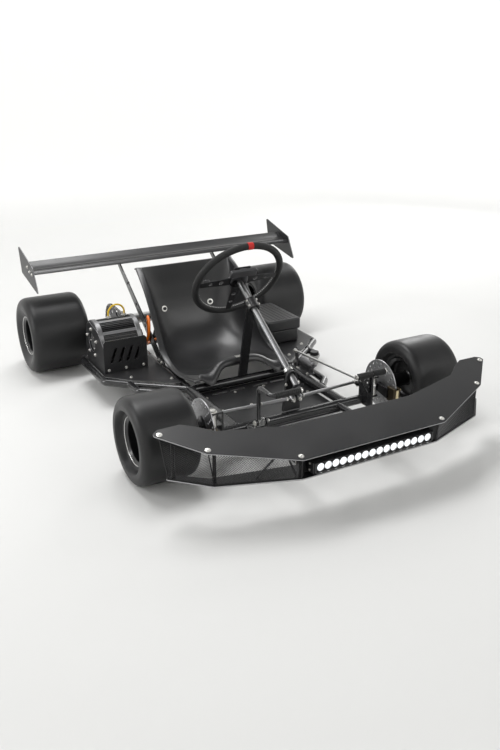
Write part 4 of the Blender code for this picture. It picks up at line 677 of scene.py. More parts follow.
def hex_nut(at, way, radius=0.0058, height=0.005, stud=0.003):
    """A nut on its washer with the end of its stud."""
    at, way = Vector(at), Vector(way).normalized()
    nut = bar(at + way * 0.0009, at + way * (0.0009 + height), radius, 6)
    round_edges(nut, radius * 0.10, 2, 50)
    bpy.ops.object.convert(target="MESH")
    ring = lathe([(0, 0), (radius * 1.35, 0), (radius * 1.35, 0.0007), (radius * 1.28, 0.001), (0, 0.001)],
                 facing(at, way), 20)
    return joined(nut, ring, bar(at, at + way * (height + 0.001 + stud), radius * 0.5, 12))


for name, side, ear_y, ear_z in (("right", -1, -0.460, 0.150), ("left", 1, -0.525, 0.138)):
    route = [(side * 0.165, y, z) for y, z in ((front_y - 0.008, FRAME_Z), (-0.420, 0.082),
                                               (-0.595, 0.1012), (-0.705, 0.1012))]
    horn = tube(rounded(route, 0.05, 8, closed=False), 0.011, fineness=7)
    x = side * 0.168
    ear = [(ear_y - 0.026, 0.088), (ear_y + 0.026, 0.088), (ear_y + 0.016, ear_z),
           (ear_y + 0.009, ear_z + 0.013), (ear_y - 0.009, ear_z + 0.013), (ear_y - 0.016, ear_z)]
    plate = sheet([rounded(ear, 0.006), circle(ear_y, 0.5 * (ear_z + 0.096), 0.006)], 0.006, in_yz(x - 0.003))
    done(joined(horn, plate), f"{name}_horn_tube", "frame", powder, "frame_powder", f"{name}_horn")
    pin = joined(bar((x + 0.003, ear_y, ear_z), (x - 0.036, ear_y, ear_z), 0.005, 24),
                 hex_nut((x + 0.003, ear_y, ear_z), (1, 0, 0), 0.0062),
                 hex_nut((x - 0.034, ear_y, ear_z), (-1, 0, 0), 0.0062, 0.004, 0.0005))
    done(pin, f"{name}_pedal_pin", "frame", zinc, "steel")
    bead = weld((side * 0.165, front_y, FRAME_Z), (1, 0, 0), TUBE, (0, -1, 0), 0.0112)
    clips = []
    for y in (-0.640, -0.690):
        clips.append(sheet([rounded(oblong(0.016, 0.007), 0.002)], 0.002,
                           Matrix.Translation((side * 0.165, y, 0.0882))))
        for off in (-0.0125, 0.0125):
            clips.append(cap_screw((side * 0.165 + off, y, 0.0882), (0, 0, -1), 0.003, 0.003, False))
            clips.append(bar((side * 0.165 + off, y, 0.089), (side * 0.165 + off, y, 0.1124), 0.002, 12))
    done(bead, f"{name}_horn_bead", "frame", powder, "frame_powder", angle=60)
    done(joined(*clips), f"{name}_horn_clips", "frame", zinc, "steel")


# Floor: one sheet tray under the rails and a lower panel before it, with a row of slanted slots where
# the maker's lettering was cut. Screws with washers hold both.
def paint_edge_highlights(piece, way):
    """Gives the faces that run across a plate's thickness a pale metal: a painted highlight along the plate's edges.
    """
    piece.data.materials.append(edge_highlight_metal.material)
    way = Vector(way).normalized()
    for polygon in piece.data.polygons:
        if abs(polygon.normal.dot(way)) < 0.35:
            polygon.material_index = 1


tray = [(-0.203, -0.185), (0.203, -0.185), (0.203, -0.014), (-0.203, -0.014)]
slots = []
for u in (-0.104, -0.036, 0.052, 0.120):
    slots.append(rounded([(u - 0.031, -0.0495), (u + 0.025, -0.0495), (u + 0.031, -0.0385),
                          (u - 0.025, -0.0385)], 0.003, 3))
panel = [(-0.185, -0.352), (0.185, -0.352), (0.185, -0.165), (-0.185, -0.165)]
floor_sheet = sheet([rounded(tray, 0.008)] + slots, 0.0035, Matrix.Translation((0, 0, 0.0612)))
front_sheet = sheet([rounded(panel, 0.010)], 0.0035, Matrix.Translation((0, 0, 0.0577)))
pan = done(joined(floor_sheet, front_sheet), "floor_pan", "frame", sheet_coat, "sheet_black", "floor_tray")
# The pan's edges carry a painted highlight.
paint_edge_highlights(pan, (0, 0, 1))
screws = [cap_screw((x, y, 0.0647), (0, 0, 1), 0.0036, 0.0022) for x in (-0.160, -0.055, 0.055, 0.160)
          for y in (-0.176, -0.062)]
screws += [cap_screw((x, -0.300, 0.0612), (0, 0, 1), 0.0036, 0.0022) for x in (-0.120, 0.120)]
done(joined(*screws), "floor_screws", "frame", zinc, "steel")


# Seat: a one-piece laminated bucket, laid up over a mould, with its rim turned out and its front lip
# rolled over. Two bolts with wide washers fix its back to bars from the rear tube.
SEAT_CENTRE = ((0.381, 0.158), (0.412, 0.124), (0.470, 0.090), (0.570, 0.077), (0.665, 0.090), (0.740, 0.138),
               (0.783, 0.215), (0.800, 0.300), (0.806, 0.388))
SEAT_RIM = ((0.338, 0.118, 0.168), (0.400, 0.113, 0.186), (0.490, 0.119, 0.190), (0.555, 0.150, 0.190),
            (0.600, 0.205, 0.188), (0.645, 0.268, 0.186), (0.700, 0.326, 0.183), (0.750, 0.366, 0.180),
            (0.793, 0.392, 0.176))
SEAT_OVER, SEAT_FLANGE, SEAT_ROLL = 0.10, 0.020, 0.022


def along_table(table, part):
    """A smooth value along a table, its part running from 0 to 1."""
    last = len(table) - 1
    place_on = min(max(part, 0.0), 1.0) * last
    i = min(int(place_on), last - 1)
    t = place_on - i
    a, b, c, d = (Vector(table[min(max(k, 0), last)]) for k in (i - 1, i, i + 1, i + 2))
    return 0.5 * (2 * b + (c - a) * t + (2 * a - 5 * b + 4 * c - d) * t * t
                  + (3 * b - a - 3 * c + d) * t ** 3)


def seat_point(across, up):
    """A point of the shell's inside: across runs -1 to 1, up from the front lip to the top."""
    side = min(max(across, -1.0), 1.0)
    mid_y, mid_z = along_table(SEAT_CENTRE, up)
    rim_y, rim_z, rim_x = along_table(SEAT_RIM, up)
    lift = abs(side) ** 3.2
    x = rim_x * math.sin(side * math.pi / 2) * (1 - 0.06 * math.sin(side * math.pi) ** 2)
    channel = math.exp(-((abs(side) - 0.58) / 0.22) ** 2) * max(0.0, 1 - up * 5)
    point = Vector((x, FRONT_AXLE + mid_y + (rim_y - mid_y) * lift - 0.026 * channel,
                    mid_z + (rim_z - mid_z) * lift - 0.024 * channel))
    if abs(across) > 1:
        part = (abs(across) - 1) / SEAT_OVER
        point += Vector((math.copysign(SEAT_FLANGE, across) * math.sin(part * 1.4) / 0.985, 0.004 * part,
                         0.004 * part - 0.007 * part * part))
    if up < 0:
        roll = -up / SEAT_OVER
        size = SEAT_ROLL * (1 - 0.6 * lift)
        point += Vector((0, -size * math.sin(roll * math.pi / 2), -size * 0.9 * roll * roll))
    if up > 1:
        part = (up - 1) / SEAT_OVER
        point += Vector((0, 0.010 * math.sin(part * 1.57), 0.002 * part - 0.004 * part * part))
    return point


fresh()
bpy.ops.mesh.primitive_grid_add(x_subdivisions=90, y_subdivisions=130, size=2.0)
bucket = bpy.context.object
for vert in bucket.data.vertices:
    vert.co = seat_point(vert.co.x * (1 + SEAT_OVER), (vert.co.y * (1 + 2 * SEAT_OVER) + 1) / 2)
wall = bucket.modifiers.new("wall", "SOLIDIFY")
wall.thickness = 0.005
wall.offset = -1
round_edges(bucket, 0.0016, 3, 60)
done(bucket, "seat_bucket", "frame", laminate, "seat_laminate", "seat_shell", angle=50)


def seat_fixing(side):
    """Where a seat bolt goes through the shell's inside, and the way out of the back there."""
    across, up = 0.36, 0.74
    for _ in range(12):
        point = seat_point(across, up)
        across += (0.095 - point.x) * 4.0
        up += (0.228 - point.z) * 1.2
    over = seat_point(across + 0.04, up) - seat_point(across - 0.04, up)
    rise = seat_point(across, up + 0.04) - seat_point(across, up - 0.04)
    out = over.cross(rise).normalized()
    out = out if out.y > 0 else -out
    return Vector((side * point.x, point.y, point.z)), Vector((side * out.x, out.y, out.z))


for name, side in SIDES:
    at, out = seat_fixing(side)
    face, back = at - out * 0.0008, at + out * 0.034
    foot = Vector((side * 0.107, rear_y, 0.094))
    behind = back - out * 0.006
    stay = [behind + Vector((0, 0, 0.012)), behind + Vector((0, 0, -0.02)), foot]
    stay = tube(rounded(stay, 0.02, 6, closed=False), 0.008)
    done(stay, f"{name}_seat_bar", "frame", powder, "frame_powder", f"{name}_seat_stay")
    washer = lathe([(0.0035, 0), (0.0115, 0), (0.0115, 0.0012), (0.0105, 0.0018), (0.0035, 0.0018)],
                   facing(face, -out), 40)
    head = cap_screw(face - out * 0.0018, -out, 0.0062, 0.0042, False)
    done(joined(washer, bar(face, back, 0.004, 16)), f"{name}_seat_bolt", "frame", zinc, "steel")
    done(head, f"{name}_seat_bolt_head", "frame", dark_steel, "steel")
lip = seat_point(0.0, -0.02)
clip = box((-0.012, lip.y - 0.006, lip.z - 0.0015), (0.012, lip.y + 0.010, lip.z + 0.0012), 0.0006)
done(clip, "seat_lip_clip", "frame", zinc, "steel")


# Tyres: wide slick rubber on five inch rims, moulded in one piece, with a rim guard and fine mould
# lines on the side walls. The two tuples give the sizes of a front and of a rear wheel: its middle,
# width and radius, the rim's width and dish, the hub's end and radius, and the axle's Y and radius.
FRONT_WHEEL = (0.463, 0.176, 0.1285, 0.134, 0.034, 0.3203, 0.0215, FRONT_AXLE, 0.0085)
REAR_WHEEL = (0.4675, 0.213, 0.140, 0.186, 0.064, 0.3395, 0.032, REAR_AXLE, 0.020)
WHEELS = {"front_right": (-1, *FRONT_WHEEL), "front_left": (1, *FRONT_WHEEL),
          "rear_right": (-1, *REAR_WHEEL), "rear_left": (1, *REAR_WHEEL)}


def outward(side, x, y, z):
    """The matrix of an axle whose Z points away from the kart's middle on that side."""
    return Matrix.Translation((side * x, y, z)) @ Matrix.Rotation(side * math.pi / 2, 4, "Y")


def eased(points, steps=5):
    """A smooth line through points, open at its ends."""
    points = [Vector(point) for point in points]
    line = []
    for i in range(len(points) - 1):
        a, b, c, d = (points[min(max(k, 0), len(points) - 1)] for k in (i - 1, i, i + 1, i + 2))
        for step in range(steps):
            t = step / steps
            line.append(0.5 * (2 * b + (c - a) * t + (2 * a - 5 * b + 4 * c - d) * t * t
                               + (3 * b - a - 3 * c + d) * t ** 3))
    return line + [points[-1]]


def tyre_outline(width, radius, rim_width):
    """Half a tyre's section, from its bead to its tread, as pairs of radius and height."""
    bead, side = rim_width / 2 - 0.0073, width / 2
    wall = eased([(0.0722, bead + 0.0005), (0.0745, bead + 0.0050), (0.0785, bead + 0.0078),
                  (0.0830, bead + 0.0102), (radius - 0.036, side - 0.0007), (radius - 0.023, side),
                  (radius - 0.0115, side * 0.952), (radius - 0.0042, side * 0.880),
                  (radius - 0.0006, side * 0.76), (radius, side * 0.55)])
    wall = [(min(r, radius), min(h, side - 0.0001)) for r, h in wall]
    ribs = []
    for r, h in wall:
        lift = 0.0
        for at in (radius - 0.0305, radius - 0.0165, 0.0868):
            lift += 0.0005 * math.exp(-((r - at) / 0.0009) ** 2)
        ribs.append((r, h + (lift if h > bead + 0.010 and h + lift < side else 0.0)))
    return [(0.0640, bead - 0.002)] + ribs


for name, (side, middle, width, radius, rim_width, dish, hub_end, hub_r, axle_y, shaft) in WHEELS.items():
    half = tyre_outline(width, radius, rim_width)
    across = half + [(radius, width * f) for f in (0.12, -0.12)] + [(r, -h) for r, h in reversed(half)]
    body = f"{name}_wheel" if "front" in name else "rear_wheels"
    slick = lathe(across, outward(side, middle, axle_y, radius), 144)
    done(slick, f"{name}_slick", body, rubber, "tyre_rubber", f"{name}_tyre", angle=50)


# Rims: spun and turned alloy with a deep dish, coated black. The thin rolled edge beside the bead is
# left bright. Screws join the web to the hub, and a valve stands in the dish.
for name, (side, middle, width, radius, rim_width, dish, hub_end, hub_r, axle_y, shaft) in WHEELS.items():
    body = f"{name}_wheel" if "front" in name else "rear_wheels"
    inner = middle - rim_width / 2
    axis = outward(side, inner, axle_y, radius)
    w, back = rim_width, hub_end - inner
    section = [(0.0690, w - 0.0008), (0.0700, w), (0.0712, w), (0.0724, w - 0.0010), (0.0724, w - 0.0052),
               (0.0700, w - 0.0066), (0.0633, w - 0.0080), (0.0633, 0.0080), (0.0700, 0.0066),
               (0.0724, 0.0052), (0.0724, 0.0010), (0.0712, 0.0), (0.0700, 0.0), (0.0690, 0.0008),
               (0.0612, 0.006), (0.0598, 0.010), (0.0598, dish - 0.010), (0.0560, dish - 0.006),
               (hub_r + 0.004, dish - 0.006), (hub_r, dish - 0.009), (hub_r, back + 0.0008),
               (hub_r - 0.0008, back), (shaft + 0.0003, back), (shaft + 0.0003, dish + 0.004),
               (hub_r - 0.001, dish + 0.004), (hub_r + 0.002, dish + 0.0005), (0.046, dish),
               (0.0500, dish + 0.0014), (0.0562, dish + 0.0018), (0.0592, dish + 0.006),
               (0.0598, dish + 0.012), (0.0598, w - 0.012), (0.0612, w - 0.0065)]
    done(lathe(section, axis, 128), f"{name}_spun_rim", body, rim_coat, "rim_alloy", f"{name}_rim", angle=30)
    lip = [(0.0708 + 0.0017 * math.cos(i / 6 * math.pi), w - 0.0004 + 0.0017 * math.sin(i / 6 * math.pi))
           for i in range(12)]
    done(lathe(lip, axis, 128), f"{name}_rim_lip", body, bright_lip, "rim_alloy")
    count = 6 if "rear" in name else 3
    pitch = hub_r + (0.0075 if "rear" in name else 0.0095)
    parts = []
    for i in range(count):
        a = 2 * math.pi * (i + 0.25) / count
        at = axis @ Vector((pitch * math.cos(a), pitch * math.sin(a), dish + 0.0004))
        parts.append(cap_screw(at, (side, 0, 0), 0.0044, 0.0048))
    if "front" in name:
        end = axis @ Vector((0, 0, dish + 0.004))
        parts.append(hex_nut(end, (side, 0, 0), 0.0125, 0.011, 0.0))
        nose = [(0, 0), (0.0084, 0), (0.0084, 0.055), (0.0074, 0.0565), (0, 0.0565)]
        parts.append(lathe(nose, Matrix.Translation(end) @ axis.to_3x3().to_4x4(), 24))
    done(joined(*parts), f"{name}_wheel_screws", body, zinc, "steel")
    a = math.radians(200)
    valve = axis @ Vector((0.0545 * math.cos(a), 0.0545 * math.sin(a), dish + 0.006))
    stem = lathe([(0, 0), (0.0042, 0), (0.0036, 0.006), (0.0029, 0.012), (0.0029, 0.026), (0.0024, 0.0275),
                  (0, 0.0275)], Matrix.Translation(valve) @ axis.to_3x3().to_4x4(), 20)
    done(stem, f"{name}_valve", body, black_rubber, "tyre_rubber")


# Front corners: an open steel yoke welded to the front tube, and in it a stub axle that turns on the
# kingpin. The stub carries the steering arm with its ball, a caliper and a drilled disc on the hub.
KING_X, FRONT_Z = 0.287, 0.1285


def drilled(radius, bore, rings, thickness, matrix, edge=0.0004):
    """A flat disc with its bore and rings of drilled holes."""
    holes = [circle(0, 0, bore, 40)]
    for pitch, count, size, start in rings:
        for i in range(count):
            a = 2 * math.pi * (i + start) / count
            holes.append(circle(pitch * math.cos(a), pitch * math.sin(a), size, 14))
    return sheet([circle(0, 0, radius, 120)] + holes, thickness, matrix, edge)


for name, side in SIDES:
    def at(x, y, z):
        """A point from the kingpin's middle, its X outwards on this side."""
        return Vector((side * (KING_X + x), FRONT_AXLE + y, FRONT_Z + z))

    shape = [(-0.030, -0.0635), (-0.024, -0.0635), (-0.024, -0.0353), (0.013, -0.0353), (0.013, -0.0293),
             (-0.024, -0.0293), (-0.024, 0.0293), (0.013, 0.0293), (0.013, 0.0353), (-0.030, 0.0353)]
    outline = [(side * u, v) for u, v in shape]
    fork = sheet([rounded(outline, 0.0025, 3)], 0.046, in_xz(FRONT_AXLE + 0.033, side * KING_X, FRONT_Z),
                 0.0008)
    done(fork, f"{name}_fork", "frame", powder, "frame_powder", f"{name}_yoke")
    pin = joined(bar(at(0, 0, -0.0400), at(0, 0, 0.0400), 0.006, 24),
                 hex_nut(at(0, 0, 0.0354), (0, 0, 1), 0.0105, 0.0058, 0.0),
                 hex_nut(at(0, 0, -0.0354), (0, 0, -1), 0.0105, 0.0066, 0.0))
    done(pin, f"{name}_kingpin", "frame", zinc, "steel")
    body = f"{name}_stub"
    barrel = lathe([(0.0063, -0.0290), (0.0118, -0.0290), (0.0125, -0.0283), (0.0125, 0.0283),
                    (0.0118, 0.0290), (0.0063, 0.0290)], Matrix.Translation(at(0, 0, 0)), 40)
    axle = lathe([(0.0, 0.009), (0.0108, 0.009), (0.0108, 0.020), (0.0085, 0.024), (0.0085, 0.2128),
                  (0.0075, 0.214), (0, 0.214)], Matrix.Translation(at(0, 0, 0))
                 @ Matrix.Rotation(side * math.pi / 2, 4, "Y"), 32)
    arm = [(-side * 0.006, 0.009), (side * 0.007, 0.009), (side * 0.002, 0.079), (-side * 0.015, 0.079),
           (-side * 0.015, 0.067), (-side * 0.0065, 0.048)]
    arm = sheet([rounded(arm, 0.004)], 0.006, Matrix.Translation((side * KING_X, FRONT_AXLE, 0.108)))
    lug = [(0.004, -0.014), (0.004, 0.010), (-0.058, 0.008), (-0.058, -0.026)]
    lug = sheet([rounded(lug, 0.004)], 0.006, in_yz(side * (KING_X + 0.0148) - 0.003, FRONT_AXLE, FRONT_Z))
    done(joined(axle, arm, lug), f"{name}_stub_forging", body, dark_steel, "steel", f"{name}_stub_axle")
    done(barrel, f"{name}_kingpin_barrel", body, zinc, "steel")
    ball = at(-0.007, 0.070, 0.1205 - FRONT_Z)
    knob = [(0, -0.0065), (0.0042, -0.0065), (0.0052, -0.0050)]
    knob += [(0.0072 * math.cos(a), 0.0072 * math.sin(a))
             for a in [math.radians(d) for d in range(-42, 43, 12)]]
    knob += [(0.0052, 0.0050), (0.0042, 0.0065), (0, 0.0065)]
    bolt = joined(lathe(knob, Matrix.Translation(ball), 24),
                  bar(ball, ball + Vector((0, 0, 0.0105)), 0.0036, 16),
                  hex_nut(ball + Vector((0, 0, -0.0125)), (0, 0, -1), 0.0062, 0.0045, 0.0))
    done(bolt, f"{name}_arm_ball", body, zinc, "steel")
    for half, span in (("inner", (0.0170, 0.0282)), ("outer", (0.0342, 0.0450))):
        x0, x1 = sorted(side * (KING_X + x) for x in span)
        block = box((x0, FRONT_AXLE - 0.086, FRONT_Z - 0.034), (x1, FRONT_AXLE - 0.050, FRONT_Z + 0.014),
                    0.0035, 3)
        done(block, f"{name}_caliper_{half}", body, caliper_alloy, "cast_alloy")
    bolts = []
    for y, z in ((-0.079, -0.026), (-0.079, 0.006), (-0.057, -0.010)):
        bolts.append(cap_screw(at(0.0450, y, z), (side, 0, 0), 0.0036, 0.0036))
    bridge = box(at(0.026, -0.0875, -0.028), at(0.036, -0.083, 0.008), 0.001)
    done(joined(bridge, *bolts), f"{name}_caliper_bolts", body, yellow_zinc, "steel")
    spin = f"front_{name}_wheel"
    plane = outward(side, KING_X + 0.029, FRONT_AXLE, FRONT_Z)
    rings = [(0.0705, 20, 0.0038, 0.0), (0.0580, 16, 0.0036, 0.5), (0.0460, 12, 0.0032, 0.0)]
    done(drilled(0.080, 0.0088, rings, 0.004, plane), f"{name}_front_disc", spin, disc_steel, "steel",
         f"front_{name}_disc")
    hat = lathe([(0.0090, 0.0042), (0.030, 0.0042), (0.030, 0.0060), (0.0240, 0.0085), (0.0217, 0.012),
                 (0.0217, 0.0043)], plane, 48)
    done(hat, f"{name}_disc_carrier", spin, alloy, "cast_alloy")


# Rear end: a hollow ground steel axle in two cast hangers that stand on the rails. It carries the
# drilled brake disc on the left and the sprocket on the right, each with its own collar.
REAR_Z = 0.140
through = outward(1, -0.499, REAR_AXLE, REAR_Z)
shaft = [(0.0200, 0.001), (0.0190, 0.0), (0.0152, 0.0), (0.0150, 0.001),
         (0.0150, 0.997), (0.0152, 0.998), (0.0190, 0.998), (0.0200, 0.997)]
done(lathe(shaft, through, 48), "ground_axle", "rear_wheels", steel, "steel", "rear_axle")
rings = [(0.0800, 24, 0.0038, 0.0), (0.0680, 20, 0.0036, 0.5), (0.0560, 16, 0.0034, 0.0),
         (0.040, 6, 0.0075, 0.25)]
disc = drilled(0.090, 0.0203, rings, 0.005, outward(1, 0.128, REAR_AXLE, REAR_Z))
done(disc, "rear_brake_disc", "rear_wheels", disc_steel, "steel", "rear_disc")


def collar(x, way, long, outer, name):
    """A ring on the axle that runs a way from x, with three screws round it."""
    ring = [(0.0203, 0), (outer, 0), (outer, long - 0.001), (outer - 0.001, long), (0.0203, long)]
    ring = lathe(ring, outward(way, way * x, REAR_AXLE, REAR_Z), 56)
    screws = []
    for i in range(3):
        a = 2 * math.pi * i / 3
        at = Vector((x + way * long / 2, REAR_AXLE + outer * math.cos(a), REAR_Z + outer * math.sin(a)))
        screws.append(cap_screw(at, (0, math.cos(a), math.sin(a)), 0.0034, 0.0022, False))
    done(ring, name, "rear_wheels", alloy, "cast_alloy")
    done(joined(*screws), name + "_screws", "rear_wheels", zinc, "steel")


collar(0.1272, -1, 0.016, 0.0280, "disc_carrier")
collar(-0.2284, 1, 0.014, 0.0280, "sprocket_carrier")
collar(0.2085, 1, 0.012, 0.0265, "left_axle_clamp")
for name, side in SIDES:
    r, base = 0.0365, -0.0490
    crown = [(r * math.cos(math.pi * i / 20), r * math.sin(math.pi * i / 20)) for i in range(21)]
    outline = [(-0.048, base), (0.048, base), (0.044, base + 0.016), *crown, (-0.044, base + 0.016)]
    x0 = side * RAIL_X - 0.0105
    window = [(0.034, base + 0.022), (0.026, base + 0.013), (0.010, base + 0.013), (0.024, base + 0.030)]
    holes = [circle(0, 0, 0.0245, 48)] + [rounded([(way * u, v) for u, v in window], 0.003, 3)
                                          for way in (-1, 1)]
    cast = sheet([rounded(outline, 0.002, 2)] + holes, 0.021, in_yz(x0, REAR_AXLE, REAR_Z), 0.0010)
    parts = [cast]
    if side > 0:
        far = 0.149
        lug = [(-0.090, 0.012), (-0.060, 0.006), (-0.020, 0.022), (-0.020, 0.034), (-0.060, 0.044),
               (-0.090, 0.040)]
        parts.append(sheet([rounded(lug, 0.003, 3)], 0.007, in_yz(far - 0.0035, REAR_AXLE, REAR_Z)))
        arm = (RAIL_X - 0.009, REAR_AXLE - 0.027, REAR_Z + 0.025)
        parts.append(box((far, REAR_AXLE - 0.050, REAR_Z + 0.013), arm, 0.002))
    done(joined(*parts), f"{name}_bearing_hanger", "frame", alloy, "cast_alloy", f"{name}_hanger")
    race = [(0.0205, 0.0), (0.0240, 0.0), (0.0244, 0.0006), (0.0244, 0.0214), (0.0240, 0.022),
            (0.0205, 0.022)]
    done(lathe(race, in_yz(x0 - 0.0005, REAR_AXLE, REAR_Z), 56), f"{name}_axle_bearing", "frame", steel,
         "steel")
    bolts = [cap_screw((side * RAIL_X, REAR_AXLE + y, REAR_Z + base + 0.0160), (0, 0, 1), 0.0042, 0.0042)
             for y in (-0.0455, 0.0455)]
    done(joined(*bolts), f"{name}_hanger_bolts", "frame", zinc, "steel")
for half, x0, x1 in (("inner", 0.1125, 0.1262), ("outer", 0.1348, 0.1485)):
    block = box((x0, REAR_AXLE - 0.100, REAR_Z + 0.004), (x1, REAR_AXLE - 0.050, REAR_Z + 0.052), 0.004, 3)
    done(block, f"rear_caliper_{half}", "frame", caliper_alloy, "cast_alloy")
bolts = [cap_screw((0.1125, REAR_AXLE + y, REAR_Z + z), (-1, 0, 0), 0.0038, 0.0038)
         for y, z in ((-0.092, 0.012), (-0.092, 0.044), (-0.060, 0.028))]
done(joined(*bolts), "rear_caliper_bolts", "frame", zinc, "steel")


# Steering wheel: a ring with a stitched grip, red at its top, three drilled sheet spokes on a turned
# hub, and a display bar. Four small screws hold each spoke; a switch pod sits by the rim.
COLUMN = math.radians(32.9)
WHEEL_AT = Vector((0.0, 0.017, 0.428))


def on_column(s, down=0.0, x=0.0):
    """A point s up the column from the wheel's centre, down across it and x to the kart's left."""
    c, n = math.cos(COLUMN), math.sin(COLUMN)
    return WHEEL_AT + Vector((x, s * c + down * n, s * n - down * c))


def column_frame(s, down=0.0, x=0.0):
    """A matrix there: Z up the column, Y down across it and X to the kart's left."""
    c, n = math.cos(COLUMN), math.sin(COLUMN)
    return Matrix.Translation(on_column(s, down, x)) @ Matrix(((1, 0, 0, 0), (0, n, c, 0), (0, -c, n, 0),
                                                               (0, 0, 0, 1)))


RING, GRIP = 0.151, 0.0118
turn = column_frame(0.0)
section = [(RING + GRIP * math.cos(a), 0.92 * GRIP * math.sin(a))
           for a in [-2 * math.pi * i / 20 for i in range(20)]]
done(lathe(section, turn, 128), "grip_ring", "steering", grip, "grip_rubber", "steering_wheel", angle=60)
arc = [(RING * math.sin(a), -RING * math.cos(a), 0.0)
       for a in [math.radians(-3.4 + 0.68 * i) for i in range(11)]]
band = tube([turn @ Vector(at) for at in arc], GRIP + 0.0002, fineness=6)
done(band, "top_band", "steering", red_band, "grip_rubber", angle=60)
seam = []
for i in range(120):
    a = 2 * math.pi * i / 120
    inner = RING - GRIP - 0.0001
    seam.append(box((-0.0002, -0.0011, -0.0014), (0.0004, 0.0011, 0.0014)))
    seam[-1].data.transform(turn @ Matrix.Rotation(a, 4, "Z") @ Matrix.Translation((inner, 0, 0))
                            @ Matrix.Rotation(0.6, 4, "X"))
done(joined(*seam), "grip_stitches", "steering", pale_plastic, "grip_rubber")
spoke = [(0.024, -0.017), (RING - 0.010, -0.0095), (RING - 0.010, 0.0095), (0.024, 0.017)]
spokes, spoke_screws = [], []
for quarter in range(3):
    plane = column_frame(-0.007) @ Matrix.Rotation(quarter * math.pi / 2, 4, "Z")
    up = plane.to_3x3() @ Vector((0, 0, 1))
    spokes.append(sheet([spoke, circle(0.064, 0, 0.0080), circle(0.102, 0, 0.0068)], 0.004, plane, 0.0006))
    for off in (-0.009, 0.009):
        spoke_screws.append(cap_screw(plane @ Vector((0.041, off, 0.004)), up, 0.0026, 0.0022, False))
    for off in (-0.005, 0.005):
        spoke_screws.append(cap_screw(plane @ Vector((0.130, off, 0.004)), up, 0.0022, 0.0020, False))
done(joined(*spokes), "wheel_spokes", "steering", sheet_coat, "sheet_black")
hub = lathe([(0.0103, -0.016), (0.024, -0.016), (0.031, -0.012), (0.033, -0.008), (0.033, 0.0030),
             (0.0318, 0.0042), (0.018, 0.0060), (0.0103, 0.0060)], turn, 56)
cap = lathe([(0, 0.0042), (0.0095, 0.0042), (0.0090, 0.0075), (0.0055, 0.0090), (0, 0.0092)], turn, 32)
done(joined(hub, cap), "wheel_hub", "steering", dark_steel, "cast_alloy")
done(joined(*spoke_screws), "spoke_screws", "steering", zinc, "steel")
DISPLAY_DOWN = -0.046
case = sheet([rounded(oblong(0.048, 0.013), 0.006)], 0.012, column_frame(-0.0225, DISPLAY_DOWN), 0.0014)
stem = sheet([rounded(oblong(0.012, 0.012), 0.003)], 0.0052, column_frame(-0.0117, DISPLAY_DOWN))
done(joined(case, stem), "display_case", "steering", display_grey, "cast_alloy", "wheel_display")
plate = rounded([(-0.030, -0.013), (0.030, -0.013), (0.034, 0.012), (-0.034, 0.012)], 0.004)
plate = sheet([plate], 0.0022, column_frame(-0.0030, DISPLAY_DOWN), 0.0006)
done(plate, "display_face", "steering", display_grey, "light_housing")
glass = rounded([(-0.024, -0.008), (0.024, -0.008), (0.024, 0.007), (-0.024, 0.007)], 0.002)
glass = sheet([glass], 0.0006, column_frame(-0.0007, DISPLAY_DOWN), 0.0002)
done(glass, "display_glass", "steering", screen, "light_housing")
link = box((-0.010, -0.006, -0.0075), (0.010, 0.006, -0.0029), 0.0006)
link.data.transform(column_frame(0.0, DISPLAY_DOWN))
done(link, "display_link", "steering", plastic, "light_housing")
line = [(0.062 * math.sin(a), -0.062 * math.cos(a) + 0.034, 0.0)
        for a in [math.radians(-38 + 4 * i) for i in range(20)]]
trim = tube([column_frame(-0.0020) @ Vector(at) for at in line], 0.0018, fineness=3)
done(trim, "display_trim", "steering", shaft_steel, "cast_alloy")
pod = box((-0.128, -0.012, -0.0032), (-0.106, 0.012, 0.0060), 0.0018, 3)
pod.data.transform(turn)
keys = []
for i in range(3):
    key = [(0, 0.0058), (0.0027, 0.0058), (0.0027, 0.0076), (0.0020, 0.0084), (0, 0.0084)]
    keys.append(lathe(key, column_frame(0.0, -0.0072 + 0.0072 * i, -0.117), 20))
done(pod, "switch_pod", "steering", plastic, "light_housing")
done(joined(*keys), "switch_keys", "steering", pale_plastic, "light_housing")


# Column: a ground shaft from the wheel to the foot, held by a split block on a flat post and by a
# plate on the front tube. A clamp collar keeps it down; the welded pitman plate pulls both tie rods.
shaft = lathe([(0, -0.462), (0.0092, -0.462), (0.010, -0.4612), (0.010, 0.0032), (0.0092, 0.004),
               (0, 0.004)], turn, 40)
tip = 0.0215
outline = [(-0.018, -0.013), (0.018, -0.013), (tip, 0.029), (tip, 0.039), (0.020, 0.045), (-0.020, 0.045),
           (-tip, 0.039), (-tip, 0.029)]
pitman = sheet([rounded(outline, 0.004, 3)], 0.005, column_frame(-0.454))
done(shaft, "steering_shaft", "steering", shaft_steel, "steel", "steering_column")
done(pitman, "pitman_plate", "steering", dark_steel, "steel")
clamp = lathe([(0.0102, -0.392), (0.0150, -0.392), (0.0150, -0.3828), (0.0142, -0.382), (0.0102, -0.382)],
              turn, 48)
done(clamp, "column_clamp", "steering", bright_lip, "steel")
block = lathe([(0.0103, -0.133), (0.0188, -0.133), (0.020, -0.1318), (0.020, -0.0962), (0.0188, -0.095),
               (0.0103, -0.095)], turn, 48)
foot, head = Vector((0, mid_y, 0.089)), on_column(-0.114, 0.018)
way = (head - foot).normalized()
axes = Matrix((Vector((1, 0, 0)), way.cross(Vector((1, 0, 0))), way)).transposed().to_4x4()
post = box((-0.016, -0.004, 0.0065), (0.016, 0.004, (head - foot).length), 0.0008)
post.data.transform(Matrix.Translation(foot) @ axes)
done(joined(block, post), "post_with_block", "frame", powder, "frame_powder", "column_post")
screws = []
for s in (-0.124, -0.104):
    for side in (-1, 1):
        way = on_column(0, -0.2, side * 0.98) - on_column(0)
        screws.append(cap_screw(on_column(s, -0.0115, side * 0.0162), way, 0.0036, 0.0036, False))
